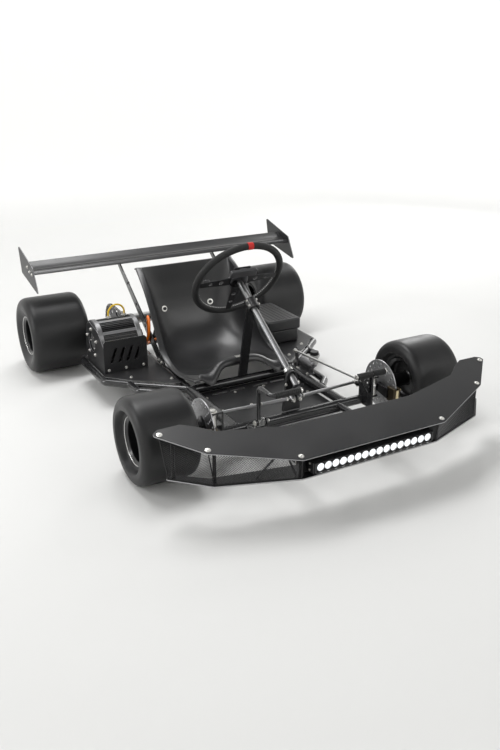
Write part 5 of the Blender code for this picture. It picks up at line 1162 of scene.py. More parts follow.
centre = on_column(-0.409)
for side in (-1, 1):
    screws.append(cap_screw(centre + Vector((side * 0.0215, -0.005, -0.022)), (0, -1, 0), 0.0036, 0.0034))
height = centre.z - FRAME_Z
crown = [(0.019 * math.cos(math.pi * i / 16), 0.019 * math.sin(math.pi * i / 16)) for i in range(17)]
outline = [(-0.030, 0.0155 - height), (0.030, 0.0155 - height), (0.030, 0.024 - height), *crown,
           (-0.030, 0.024 - height)]
bearing = [(0.0103 * math.cos(a), 0.0158 * math.sin(a)) for a in [2 * math.pi * i / 40 for i in range(40)]]
stand = sheet([outline, bearing], 0.010, in_xz(centre.y + 0.005, 0.0, centre.z), 0.0008)
done(stand, "column_foot_plate", "frame", sheet_coat, "sheet_black", "column_foot")
done(joined(*screws), "column_screws", "frame", zinc, "steel")


# Tie rods: straight bars with a forged ball eye at the steering arm and a rod end at the pitman plate,
# each end locked by a jam nut. The bolt through a rod end is on the rod's own body and moves with it.
PIN_DOWN, PIN_SPREAD = 0.035, 0.0115
for name, side in SIDES:
    end = Vector((side * 0.280, -0.290, 0.1205))
    inner, low_end, high_end, low_nut = (on_column(s, PIN_DOWN, side * PIN_SPREAD)
                                         for s in (-0.464, -0.4795, -0.449, -0.4718))
    way = (inner - end).normalized()
    up_way = (on_column(1.0) - on_column(0.0)).normalized()
    eye = lathe([(0.0075, -0.0040), (0.0108, -0.0040), (0.0115, -0.0032), (0.0115, 0.0032),
                 (0.0108, 0.0040), (0.0075, 0.0040)], Matrix.Translation(end), 40)
    neck = bar(end + way * 0.0105, end + way * 0.026, 0.0034, 20)
    long = bar(end + way * 0.0245, inner - way * 0.014, 0.0055, 28)
    stub = bar(inner - way * 0.016, inner - way * 0.008, 0.0040, 20)
    rod_end = lathe([(0.0034, -0.0070), (0.0086, -0.0070), (0.0095, -0.0056), (0.0095, 0.0056),
                     (0.0086, 0.0070), (0.0034, 0.0070)], facing(inner, up_way), 32)
    done(joined(eye, neck, long, stub, rod_end), f"{name}_tie_bar", f"{name}_tie", shaft_steel, "steel",
         f"{name}_tie_rod")
    nuts = [bar(end + way * 0.0205, end + way * 0.0245, 0.0066, 6),
            bar(inner - way * 0.0195, inner - way * 0.0150, 0.0066, 6)]
    pin = bar(low_end, high_end, 0.0032, 16)
    nuts.append(hex_nut(high_end, up_way, 0.0058, 0.0048, 0.0016))
    nuts.append(hex_nut(low_nut, -up_way, 0.0058, 0.0042, 0.0016))
    done(joined(pin, *nuts), f"{name}_rod_bolts", f"{name}_tie", zinc, "steel")


# Pedals: bent tube and flat bar on bored barrels, with ribbed rubber sleeves on the foot bars. A
# return spring sits at the throttle, and a drilled web stiffens the brake.
def sleeve(x0, x1, y, z):
    """A rubber sleeve with rounded ribs round a foot bar."""
    ribs = 13
    outline = [(0.0066, 0.0)]
    for i in range(ribs):
        base = (x1 - x0) * i / ribs
        wide = (x1 - x0) / ribs
        outline += [(0.0083, base + wide * 0.08), (0.0094, base + wide * 0.3), (0.0094, base + wide * 0.7),
                    (0.0083, base + wide * 0.92)]
    outline.append((0.0066, x1 - x0))
    return lathe(outline, in_yz(x0, y, z), 32)


def barrel(x, y, z):
    """A pedal's barrel from its ear towards the kart's right."""
    shape = [(0.0054, 0.0003), (0.0089, 0.0003), (0.0095, 0.0010), (0.0095, 0.0294), (0.0089, 0.030),
             (0.0054, 0.030)]
    return lathe(shape, Matrix.Translation((x, y, z)) @ Matrix.Rotation(-math.pi / 2, 4, "Y"), 36)


y, z = -0.530, 0.2565
pivot = Vector((-0.1713, -0.460, 0.150))
x = -0.1893
route = rounded([(x, -0.460, 0.157), (x, -0.456, z + 0.004), (x - 0.001, y, z), (-0.093, y, z)], 0.020, 7,
                closed=False)
arm = joined(barrel(*pivot), tube(route, 0.0065, fineness=6))
done(arm, "throttle_arm", "throttle", powder, "frame_powder", "throttle_pedal")
done(sleeve(-0.179, -0.098, y, z), "throttle_sleeve", "throttle", black_rubber, "grip_rubber")
screw = joined(cap_screw((x + 0.0062, -0.4575, 0.205), (1, 0, 0), 0.0042, 0.0036),
               bar((-0.098, y, z), (-0.0925, y, z), 0.0069, 24))
done(screw, "throttle_screw", "throttle", zinc, "steel")
coil = [(-0.1735 - 0.0011 * i / 3, -0.460 + 0.0112 * math.cos(i * math.pi / 6),
         0.150 + 0.0112 * math.sin(i * math.pi / 6)) for i in range(60)]
coil += [(-0.1962, -0.449, 0.142), (-0.1962, -0.449, 0.118)]
done(tube(coil, 0.0009, fineness=2), "throttle_spring", "frame", steel, "steel")
pivot = Vector((0.1647, -0.525, 0.138))
x = 0.1497
reach = z - pivot.z
arm = sheet([rounded([(-0.0105, 0.006), (0.0105, 0.006), (0.0078, reach), (-0.0078, reach)], 0.002, 2)],
            0.007, in_yz(x - 0.0035, pivot.y, pivot.z))
foot = bar((0.093, y, z), (0.197, y, z), 0.0065, 28)
web = [(0.104, z - 0.002), (x - 0.002, z - 0.002), (x - 0.002, 0.197), (x - 0.011, 0.200)]
holes = [circle(0.126, 0.2445, 0.0036, 16), circle(0.138, 0.2445, 0.0036, 16),
         circle(0.1365, 0.2310, 0.0036, 16), circle(0.1405, 0.2175, 0.0030, 16)]
web = sheet([web] + holes, 0.004, in_xz(-0.524), 0.0004)
done(joined(barrel(*pivot), arm, foot, web), "brake_arm_frame", "brake", powder, "frame_powder",
     "brake_pedal")
done(sleeve(0.1515, 0.193, y, z), "brake_sleeve_outer", "brake", black_rubber, "grip_rubber")
done(sleeve(0.099, 0.148, y, z), "brake_sleeve_inner", "brake", black_rubber, "grip_rubber")
ends = [bar((0.092, y, z), (0.0945, y, z), 0.0069, 24), bar((0.1955, y, z), (0.198, y, z), 0.0069, 24)]
done(joined(cap_screw((x + 0.0035, -0.526, 0.185), (1, 0, 0), 0.004, 0.0034), *ends), "brake_screws",
     "brake", zinc, "steel")


# Chain drive: a cut steel sprocket on the axle, a pinion on the motor's shaft and a roller chain of
# pressed side plates, pins and rollers. Where it lies in the teeth it has its pins alone.
PITCH, CHAIN_X = 0.0127, -0.231
MOTOR_AT = Vector((CHAIN_X, 0.340, 0.1766))
AXLE_AT = Vector((CHAIN_X, REAR_AXLE, REAR_Z))
TOOTH = ((0.0, -0.0031), (0.18, -0.0027), (0.30, -0.0008), (0.40, 0.0022), (0.46, 0.0037),
         (0.54, 0.0037), (0.60, 0.0022), (0.70, -0.0008), (0.82, -0.0027))


def toothed(count):
    """A sprocket's outline: a round root for each roller and a rounded tip between two."""
    pitch_r = PITCH / 2 / math.sin(math.pi / count)
    points = []
    for i in range(count):
        for part, off in TOOTH:
            a = 2 * math.pi * (i + part) / count
            points.append(((pitch_r + off) * math.cos(a), (pitch_r + off) * math.sin(a)))
    return points


windows = []
for i in range(6):
    a = math.pi / 3 * i + 0.5
    windows.append(circle(0.043 * math.cos(a), 0.043 * math.sin(a), 0.0095, 28))
big = sheet([toothed(34), circle(0, 0, 0.0203, 48)] + windows, 0.0045,
            in_yz(CHAIN_X - 0.00225, REAR_AXLE, REAR_Z), 0.0004)
done(big, "cut_sprocket", "rear_wheels", dark_steel, "steel", "axle_sprocket")
screws = []
for i in range(6):
    a = math.pi / 3 * i
    screws.append(cap_screw(AXLE_AT + Vector((-0.0023, 0.0245 * math.cos(a), 0.0245 * math.sin(a))),
                            (-1, 0, 0), 0.0026, 0.0024, False))
done(joined(*screws), "sprocket_screws", "rear_wheels", zinc, "steel")
small = sheet([toothed(11)], 0.0045, in_yz(CHAIN_X - 0.00225, MOTOR_AT.y, MOTOR_AT.z), 0.0004)
shaft = bar((-0.2720, MOTOR_AT.y, MOTOR_AT.z), (-0.2192, MOTOR_AT.y, MOTOR_AT.z), 0.0078, 32)
end = hex_nut((-0.2287, MOTOR_AT.y, MOTOR_AT.z), (1, 0, 0), 0.0105, 0.0050, 0.0)
done(joined(small, shaft, end), "pinion_on_shaft", "motor_shaft", steel, "steel", "motor_pinion")
big_r, small_r = (PITCH / 2 / math.sin(math.pi / count) for count in (34, 11))
drop, ahead = MOTOR_AT.z - REAR_Z, REAR_AXLE - MOTOR_AT.y
tilt = math.atan2(drop, -ahead)
lean = math.acos((big_r - small_r) / math.hypot(ahead, drop))
loop = [(REAR_AXLE + big_r * math.cos(a), REAR_Z + big_r * math.sin(a))
        for a in [tilt + lean + (2 * math.pi - 2 * lean) * i / 160 for i in range(161)]]
loop += [(MOTOR_AT.y + small_r * math.cos(a), MOTOR_AT.z + small_r * math.sin(a))
         for a in [tilt - lean + 2 * lean * i / 60 for i in range(61)]]
loop.append(loop[0])
loop = [Vector(at) for at in loop]
total = sum((b - a).length for a, b in zip(loop, loop[1:]))
links = round(total / PITCH / 2) * 2
stops, run = [], 0.0
for a, b in zip(loop, loop[1:]):
    step = (b - a).length
    while step and run + step >= len(stops) * total / links and len(stops) < links:
        stops.append(a.lerp(b, (len(stops) * total / links - run) / step))
    run += step
eight = [(0.0040 * math.cos(a), 0.0038 * math.sin(a)) for a in [math.radians(60 + 30 * i) for i in range(9)]]
half_link = [(u - PITCH / 2, v) for u, v in eight]
eight = half_link + [(0.0, -0.0025)] + [(-u, -v) for u, v in half_link] + [(0.0, 0.0025)]
outer_link = joined(*[sheet([eight], 0.0010, Matrix.Translation((0, 0, z0)), 0.0002)
                      for z0 in (0.0037, -0.0047)])
inner_link = joined(*[sheet([eight], 0.0010, Matrix.Translation((0, 0, z0)), 0.0002)
                      for z0 in (0.0026, -0.0036)])
pin = bar((0, 0, -0.0052), (0, 0, 0.0052), 0.0017, 8)
roller = bar((0, 0, -0.0025), (0, 0, 0.0025), 0.0036, 10)


def copied(piece, matrix):
    """A copy of a link or pin, carried by a matrix."""
    made = piece.copy()
    made.data = piece.data.copy()
    bpy.context.collection.objects.link(made)
    made.data.transform(matrix)
    return made


plates, pins = [], []
for i, (a, b) in enumerate(zip(stops, stops[1:] + stops[:1])):
    mid, way = (a + b) / 2, (b - a).normalized()
    axes = Matrix(((0, 0, 1, CHAIN_X), (way.x, -way.y, 0, mid.x), (way.y, way.x, 0, mid.y), (0, 0, 0, 1)))
    plates.append(copied((outer_link, inner_link)[i % 2], axes))
    here = Matrix(((0, 0, 1, CHAIN_X), (1, 0, 0, a.x), (0, 1, 0, a.y), (0, 0, 0, 1)))
    pins.append(copied(pin, here))
    gap_big = math.hypot(a.x - REAR_AXLE, a.y - REAR_Z) - big_r
    gap_small = math.hypot(a.x - MOTOR_AT.y, a.y - MOTOR_AT.z) - small_r
    if min(gap_big, gap_small) > 0.0085:
        pins.append(copied(roller, here))
for piece in (outer_link, inner_link, pin, roller):
    bpy.data.objects.remove(piece)
done(joined(*plates), "chain_plates", "frame", chain_steel, "steel", "drive_chain")
done(joined(*pins), "chain_pins", "frame", steel, "steel")


# Motor: a finned black stator between two cast end rings, tied by four thick alloy bars. A gland for
# the power lead sits on the inner face, and two stands with nuts hold the sensor loop on top.
MOTOR_IN = -0.248
axis = Matrix.Translation((MOTOR_IN, MOTOR_AT.y, MOTOR_AT.z)) @ Matrix.Rotation(-math.pi / 2, 4, "Y")
fins = []
for i in range(64):
    for part, r in ((-0.30, 0.0690), (-0.16, 0.0752), (0.16, 0.0752), (0.30, 0.0690)):
        a = 2 * math.pi * (i + part) / 64
        fins.append((r * math.cos(a), r * math.sin(a)))
stator = sheet([fins], 0.125, axis @ Matrix.Translation((0, 0, 0.015)), 0.0005)
done(stator, "motor_stator", "frame", motor_black, "motor_alloy", "motor", angle=25)
ring = [(0.0090, 0.0), (0.0260, 0.0), (0.0275, 0.0015), (0.0600, 0.0015), (0.0618, 0.0), (0.0765, 0.0),
        (0.0780, 0.0015), (0.0780, 0.0160), (0.0768, 0.0172), (0.0680, 0.0180), (0.0090, 0.0180)]
inner_ring = lathe(ring, axis, 96)
outer_ring = lathe([(0.0 if r < 0.01 else r, 0.155 - h) for r, h in ring], axis, 96)
done(joined(inner_ring, outer_ring), "motor_end_rings", "frame", motor_alloy, "motor_alloy")
ties = []
for a in (math.radians(216), math.radians(256), math.radians(30), math.radians(330)):
    tie = box((-0.0060, -0.0030, 0.014), (0.0060, 0.0044, 0.141), 0.0016, 3)
    tie.data.transform(axis @ Matrix.Rotation(a, 4, "Z") @ Matrix.Translation((0, 0.0728, 0)))
    ties.append(tie)
done(joined(*ties), "motor_tie_bars", "frame", motor_alloy, "motor_alloy")
heads = []
for i in range(6):
    a = math.radians(30 + 60 * i)
    heads.append(cap_screw(axis @ Vector((0.0690 * math.cos(a), 0.0690 * math.sin(a), 0.0002)), (1, 0, 0),
                           0.0034, 0.0034, False))
for i in range(3):
    a = math.radians(90 + 120 * i)
    heads.append(cap_screw(axis @ Vector((0.0240 * math.cos(a), 0.0240 * math.sin(a), 0.1552)), (-1, 0, 0),
                           0.0028, 0.0020, False))
feet = [Vector((-0.338, 0.352, 0.2586)), Vector((-0.277, 0.358, 0.2586))]
for at in feet:
    heads.append(hex_nut(at - Vector((0, 0, 0.0062)), (0, 0, 1), 0.0072, 0.0046, 0.0))
done(joined(*heads), "motor_screws", "frame", zinc, "steel")
stands = [lathe([(0, -0.014), (0.0085, -0.014), (0.0085, -0.0064), (0, -0.0064)], Matrix.Translation(at), 6)
          for at in feet]
done(joined(*stands), "sensor_stands", "frame", motor_alloy, "motor_alloy", angle=20)
gland = []
for i in range(5):
    gland += [(0.0080, 0.0016 * i), (0.0080, 0.0016 * i + 0.0009), (0.0068, 0.0016 * i + 0.0010),
              (0.0068, 0.0016 * i + 0.0015)]
gland = [(0.0046, 0.0)] + gland + [(0.0056, 0.0100), (0.0046, 0.0100)]
start = Vector((-0.240, 0.292, 0.1606))
done(lathe(gland, in_yz(-0.2478, start.y, start.z), 40), "power_gland", "frame", pale_plastic,
     "light_housing")


# Motor plate: laser cut sheet, bent up in front of the motor and outside it. The front plate has four
# slanted slots where the maker's lettering was; the cheek has a port for the motor's end.
POD_SHEET = ((0.209, 0.024), (0.209, 0.436), (0.416, 0.436), (0.416, 0.196), (0.352, 0.129))
POD_SHEET_Z, POD_TOP = 0.0953, 0.0983
base = sheet([rounded([(-x, y) for x, y in POD_SHEET], 0.006)], 0.003,
             Matrix.Translation((0, 0, POD_SHEET_Z)))
done(base, "motor_base_plate", "frame", sheet_coat, "sheet_black", "motor_plate")
# The base plate's edges carry a painted highlight.
paint_edge_highlights(base, (0, 0, 1))
face = [(-0.4075, 0.0975), (-0.250, 0.0975), (-0.250, 0.206), (-0.258, 0.214), (-0.400, 0.214),
        (-0.4075, 0.206)]


def slanted(u, v, wide, tall, slope):
    """A slot with round ends that leans over by a slope."""
    points = []
    for i in range(20):
        a = 2 * math.pi * i / 20
        lift = tall / 2 - wide / 2
        w = (lift if math.sin(a) >= 0 else -lift) + wide / 2 * math.sin(a)
        points.append((u + wide / 2 * math.cos(a) + slope * w / (tall / 2), v + w))
    return points


vents = [slanted(-0.372 + 0.029 * i, 0.158, 0.010, 0.052, 0.010) for i in range(4)]
front_plate = done(sheet([face] + vents, 0.003, in_xz(0.224)), "motor_front_plate", "frame", sheet_coat,
                   "sheet_black")
# The front plate's edges carry a painted highlight.
paint_edge_highlights(front_plate, (0, 1, 0))
cheek = [(0.2215, 0.0975), (0.400, 0.0975), (0.408, 0.150), (0.390, 0.232), (0.360, 0.246), (0.272, 0.232),
         (0.2215, 0.190)]
cheek = sheet([rounded(cheek, 0.006), circle(0.340, 0.1766, 0.034, 64)], 0.003, in_yz(-0.408))
done(cheek, "motor_cheek", "frame", sheet_coat, "sheet_black")
# The cheek's edges carry a painted highlight.
paint_edge_highlights(cheek, (1, 0, 0))
studs = []
for a in [math.radians(18 + 72 * i) for i in range(5)]:
    at = (-0.408, 0.340 + 0.048 * math.cos(a), 0.1766 + 0.048 * math.sin(a))
    studs.append(cap_screw(at, (-1, 0, 0), 0.0045, 0.0044))
studs += [cap_screw((x, y, POD_TOP), (0, 0, 1), 0.0042, 0.0040)
          for x, y in ((-0.224, 0.075), (-0.340, 0.150), (-0.224, 0.420), (-0.398, 0.420))]
studs += [cap_screw((x, 0.221, 0.108), (0, -1, 0), 0.0036, 0.0034) for x in (-0.392, -0.330, -0.266)]
done(joined(*studs), "motor_plate_screws", "frame", zinc, "steel")


# Cables: stranded copper in a smooth jacket. The orange power lead arches up from the motor's gland and
# crosses behind the seat to the battery; the yellow sensor lead makes an arch on top of the motor.
def cable(points, radius, name, finish, slot, node):
    route = eased(points, 14)
    length = sum((b - a).length for a, b in zip(route, route[1:]))
    jacket = done(tube(route, radius, fineness=5), name, "frame", finish, slot, node, angle=60)
    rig.cord(jacket, route[0], length, 2 * radius, "object", stiffness="medium", lay="loose", path=route)


lead = [start, (-0.2350, 0.292, 0.1606), (-0.2290, 0.2905, 0.1625), (-0.2225, 0.2830, 0.1760),
        (-0.2190, 0.2745, 0.2000), (-0.2175, 0.2725, 0.2240), (-0.2155, 0.2790, 0.2440),
        (-0.2125, 0.2930, 0.2530), (-0.2090, 0.3070, 0.2450), (-0.2055, 0.3150, 0.2260),
        (-0.2035, 0.3200, 0.2000), (-0.2030, 0.3290, 0.1620), (-0.2010, 0.3480, 0.1360),
        (-0.186, 0.380, 0.1185), (-0.140, 0.425, 0.113), (-0.050, 0.440, 0.112), (0.060, 0.440, 0.112),
        (0.150, 0.420, 0.114), (0.188, 0.392, 0.1215), (0.2020, 0.3765, 0.1275), (0.2125, 0.375, 0.128)]
cable(lead, 0.0045, "orange_lead", orange, "cable_orange", "power_cable")
a, b = feet
arch = [a, a + Vector((0, 0, 0.010)), a + Vector((0.0035, 0, 0.021)), a + Vector((0.0145, 0.001, 0.032)),
        a + Vector((0.0305, 0.003, 0.0365)), b + Vector((-0.0145, -0.001, 0.032)),
        b + Vector((-0.0035, 0, 0.021)), b + Vector((0, 0, 0.010)), b]
cable(arch, 0.0032, "yellow_loop", yellow, "cable_yellow", "sensor_cable")


# Battery: a moulded case on its base sheet in the left pod, with an overhanging ribbed lid held by two
# sprung latches, and a gland for the power lead.
base = sheet([rounded(POD_SHEET, 0.006)], 0.003, Matrix.Translation((0, 0, POD_SHEET_Z)))
done(base, "battery_base", "frame", sheet_coat, "sheet_black", "battery_box")
# The battery base's edges carry a painted highlight.
paint_edge_highlights(base, (0, 0, 1))
case = box((0.224, 0.192, POD_TOP), (0.352, 0.400, 0.149), 0.006, 4)
lid = box((0.219, 0.186, 0.1475), (0.358, 0.406, 0.1905), 0.0075, 4)
done(joined(case, lid), "battery_case", "frame", plastic, "sheet_black")
ribs = [box((0.236 + 0.0165 * i, 0.200, 0.1895), (0.2425 + 0.0165 * i, 0.392, 0.1920), 0.0009)
        for i in range(7)]
done(joined(*ribs), "battery_lid_ribs", "frame", plastic, "sheet_black")
latches = []
for y in (0.236, 0.356):
    latches.append(box((0.3575, y - 0.011, 0.1500), (0.3600, y + 0.011, 0.1740), 0.0008))
    latches.append(box((0.3515, y - 0.009, 0.1260), (0.3585, y + 0.009, 0.1470), 0.0010))
    latches.append(bar((0.3590, y - 0.012, 0.1500), (0.3590, y + 0.012, 0.1500), 0.0016, 12))
for x, y in ((0.240, 0.075), (0.340, 0.150), (0.240, 0.420), (0.398, 0.420)):
    latches.append(cap_screw((x, y, POD_TOP), (0, 0, 1), 0.0042, 0.0040))
done(joined(*latches), "battery_latches", "frame", zinc, "steel")
socket = lathe([(0.0047, 0.0), (0.0060, 0.0), (0.0080, 0.0030), (0.0080, 0.0110), (0.0047, 0.0110)],
               in_yz(0.2130, 0.375, 0.128), 40)
done(socket, "battery_gland", "frame", black_rubber, "grip_rubber")


# Brake: a steel pull rod with an eye at each end runs from the pedal to a lever on the left rail. The
# lever pushes a turned alloy cylinder, which has a fluid cup with a ribbed cap and stands on the rail.
a, b = Vector((0.1580, -0.525, 0.215)), Vector((0.2062, -0.020, 0.152))
way = (b - a).normalized()
rod = bar(a + way * 0.005, b - way * 0.005, 0.0038, 24)
eye = [(0.0030, -0.0045), (0.0066, -0.0045), (0.0075, -0.0036), (0.0075, 0.0036), (0.0066, 0.0045),
       (0.0030, 0.0045)]
eyes = [lathe(eye, in_yz(at.x, at.y, at.z), 32) for at in (a, b)]
done(joined(rod, *eyes), "brake_pull_rod", "brake_pull", steel, "steel", "brake_rod")
parts = [bar(a + way * 0.010, a + way * 0.014, 0.0062, 6), bar(b - way * 0.014, b - way * 0.010, 0.0062, 6)]
parts += [cap_screw(a + Vector((0.0045, 0, 0)), (1, 0, 0), 0.0040, 0.0030, False),
          cap_screw(b - Vector((0.0045, 0, 0)), (-1, 0, 0), 0.0040, 0.0030, False)]
done(joined(*parts), "pull_rod_nuts", "brake_pull", zinc, "steel")
lever = [(-0.008, -0.008), (0.008, -0.008), (0.007, 0.050), (0.0, 0.0555), (-0.007, 0.050)]
LEVER_YZ, CUP_XY = (-0.020, 0.110), (0.234, -0.098)
plane = in_yz(0.211, *LEVER_YZ)
lever = sheet([rounded(lever, 0.003, 3), circle(0, 0, 0.0044, 24), circle(0, 0.014, 0.0028),
               circle(0, 0.026, 0.0024)], 0.006, plane, 0.0007)
done(lever, "brake_bell_lever", "brake_arm", alloy, "cast_alloy", "brake_lever")
along_y = Matrix.Translation((0.214, -0.124, 0.126)) @ Matrix.Rotation(-math.pi / 2, 4, "X")
shape = [(0, 0), (0.0075, 0), (0.0085, 0.001), (0.0085, 0.006), (0.0128, 0.008), (0.0140, 0.0095),
         (0.0140, 0.050), (0.0128, 0.0515), (0.0128, 0.055), (0.0140, 0.0565), (0.0140, 0.073),
         (0.0128, 0.0745), (0.0100, 0.076), (0, 0.076)]
tube_body = lathe(shape, along_y, 56)
saddle = box((0.196, -0.118, 0.0935), (0.226, -0.010, 0.0975), 0.0012)
stand = box((0.2045, -0.113, 0.0950), (0.2235, -0.055, 0.1200), 0.0020)
ears = []
for side in (-1, 1):
    x = 0.214 + side * 0.0033 + (0.0 if side > 0 else -0.004)
    ear = rounded([(-0.014, -0.014), (0.014, -0.014), (0.007, 0.007), (-0.007, 0.007)], 0.003, 3)
    ears.append(sheet([ear], 0.004, in_yz(x, *LEVER_YZ)))
neck = bar((*CUP_XY, 0.1160), (*CUP_XY, 0.1245), 0.0100, 32)
done(joined(tube_body, saddle, stand, neck, *ears), "brake_cylinder", "frame", alloy, "cast_alloy",
     "master_cylinder")
boot = [(0, 0.0755), (0.0090, 0.0757), (0.0092, 0.0768), (0.0074, 0.0776), (0.0078, 0.0788),
        (0.0060, 0.0796), (0.0050, 0.0810), (0, 0.0810)]
done(lathe(boot, along_y, 36), "cylinder_boot", "frame", black_rubber, "grip_rubber")
cup = [(0, 0), (0.0135, 0), (0.0145, 0.001), (0.0145, 0.032), (0.0135, 0.033), (0, 0.033)]
done(lathe(cup, Matrix.Translation((*CUP_XY, 0.1240)), 48), "fluid_cup", "frame", pale_plastic,
     "light_housing")
edge = []
for i in range(36):
    for part, r in ((0.1, 0.0145), (0.5, 0.0145), (0.6, 0.0139), (1.0, 0.0139)):
        a = 2 * math.pi * (i + part) / 36
        edge.append((r * math.cos(a), r * math.sin(a)))
cap = sheet([edge], 0.0125, Matrix.Translation((*CUP_XY, 0.1572)), 0.0010)
done(cap, "fluid_cap", "frame", plastic, "grip_rubber", angle=20)
fixings = [bar((0.2030, *LEVER_YZ), (0.2250, *LEVER_YZ), 0.004, 20),
           hex_nut((0.2250, *LEVER_YZ), (1, 0, 0), 0.0062, 0.0045, 0.001)]
fixings += [cap_screw((x, y, 0.0975), (0, 0, 1), 0.0036, 0.0034)
            for x, y in ((0.2005, -0.1085), (0.2005, -0.045))]
done(joined(*fixings), "cylinder_screws", "frame", zinc, "steel")


# Wing: a pressed blade with a hollowed top, folded along a crease near its front and screwed between
# two cut end plates. It stands on two drilled struts of flat bar from the rails.
BLADE_Y, BLADE_Z, BLADE_CHORD, BLADE_RISE, FOLD_AT = 0.568, 0.382, 0.082, 0.028, 0.0248


def blade_section(steps=30):
    """The blade's outline in Y and Z, from its front edge over the top and back along the belly."""
    upper, lower = [], []
    for i in range(steps + 1):
        t = i / steps
        y, z = BLADE_CHORD * t, BLADE_RISE * t
        front = 0.004 * math.sin(math.pi * min(1.0, 3.3 * t))
        hollow = 0.006 * math.sin(math.pi * max(0.0, (t - 0.25) / 0.75))
        upper.append((y, z + front - hollow - 0.0003))
        lower.append((y, z - 0.0012 - 0.019 * math.sin(math.pi * t) ** 0.8 * (1 - 0.45 * t)))
    return upper + lower[::-1]


blade = sheet([blade_section()], 1.060, in_yz(-0.530, BLADE_Y, BLADE_Z), 0.0003)
done(blade, "pressed_blade", "frame", laminate, "sheet_black", "wing_blade", angle=22)
fold = [(x, BLADE_Y + FOLD_AT, BLADE_Z + FOLD_AT * BLADE_RISE / BLADE_CHORD + 0.0004)
        for x in (-0.529, -0.26, 0.0, 0.26, 0.529)]
done(tube(fold, 0.0011, fineness=2), "blade_fold", "frame", sheet_coat, "sheet_black")
plate_bolts = []
for name, side in SIDES:
    x = side * 0.5303 - (0.004 if side < 0 else 0.0)
    outline = [(-0.100, 0.318), (-0.050, 0.405), (0.130, 0.449), (0.108, 0.352)]
    plate = sheet([rounded(outline, 0.008)], 0.004, in_yz(x, REAR_AXLE, 0.0), 0.0006)
    done(plate, f"{name}_end_sheet", "frame", sheet_coat, "sheet_black", f"{name}_endplate")
    # The end plate's edges carry a painted highlight.
    paint_edge_highlights(plate, (1, 0, 0))
    for y, z in ((0.578, 0.3790), (0.607, 0.3830), (0.636, 0.3945)):
        plate_bolts.append(cap_screw((side * 0.5343, y, z), (side, 0, 0), 0.0040, 0.0034))
    foot, top = Vector((0.230, 0.089)), Vector((0.616, 0.392))
    way = (top - foot).normalized()
    off = Vector((-way.y, way.x)) * 0.015
    outline = [(0.200, 0.0955), (0.264, 0.0955), (0.264, 0.102), (top.x - off.x, top.y - off.y - 0.0105),
               (top.x + off.x * 0.6 + 0.004, top.y - 0.0150), (top.x + off.x - 0.004, top.y - 0.0145),
               (0.200, 0.1035)]
    holes = [circle(foot.x + (top.x - foot.x) * t, foot.y + (top.y - foot.y) * t, 0.006, 32)
             for t in (0.35, 0.55, 0.75)]
    strut = sheet([outline] + holes, 0.005, in_yz(side * RAIL_X - 0.0025, 0.0, 0.0), 0.0006)
    done(strut, f"{name}_flat_strut", "frame", powder, "frame_powder", f"{name}_wing_strut")
    for y, z in ((0.222, 0.1005), (0.245, 0.1040)):
        plate_bolts.append(cap_screw((side * (RAIL_X + 0.0025), y, z), (side, 0, 0), 0.0036, 0.0034))
done(joined(*plate_bolts), "wing_screws", "frame", zinc, "steel")


# Nose: two cut sheets, the upper one sloping, held apart by round posts. Dome screws hold the corners; a
# folded black screen closes the middle and fine expanded metal the sides, with thin braces behind it.
EDGE_Y, EDGE_Z, RISE = -0.760, 0.1807, 0.298
SLOPE = math.atan(RISE)
NOSE_HALF = ((0.2302, 0.0), (0.4516, 0.0980), (0.5509, 0.1960), (0.5480, 0.2060), (0.5320, 0.2145),
             (0.4700, 0.2150), (0.4350, 0.1960), (0.3930, 0.1640), (0.3000, 0.1440), (0.2040, 0.1240))
LOWER_HALF = ((0.2207, 0.0160), (0.4370, 0.0900), (0.5300, 0.1850), (0.5050, 0.1970), (0.4300, 0.1350),
              (0.2000, 0.0900))


def both_halves(half, stretch=1.0):
    """An outline closed by its mirror image, its depth stretched."""
    return [(x, y * stretch) for x, y in half] + [(-x, y * stretch) for x, y in reversed(half)]


slope_at = Matrix.Translation((0, EDGE_Y, EDGE_Z)) @ Matrix.Rotation(SLOPE, 4, "X")
slope_at = slope_at @ Matrix.Translation((0, 0, -0.0045))
outline = rounded(both_halves(NOSE_HALF, 1 / math.cos(SLOPE)), 0.007, 4)
top_plate = done(sheet([outline], 0.0045, slope_at, 0.0007), "nose_upper_sheet", "frame", sheet_coat,
                 "sheet_black", "nose_top")
# The upper nose sheet's edges carry a painted highlight.
paint_edge_highlights(top_plate, (0, -math.sin(SLOPE), math.cos(SLOPE)))
outline = rounded(both_halves(LOWER_HALF), 0.006, 4)
low_plate = sheet([outline], 0.004, Matrix.Translation((0, EDGE_Y, 0.1125)), 0.0005)
done(low_plate, "nose_lower_sheet", "frame", sheet_coat, "sheet_black", "nose_lower")
# The lower nose sheet's edges carry a painted highlight.
paint_edge_highlights(low_plate, (0, 0, 1))


def plate_top(back):
    """How high the upper sheet's top is at a way back from the nose's edge."""
    return EDGE_Z + RISE * back


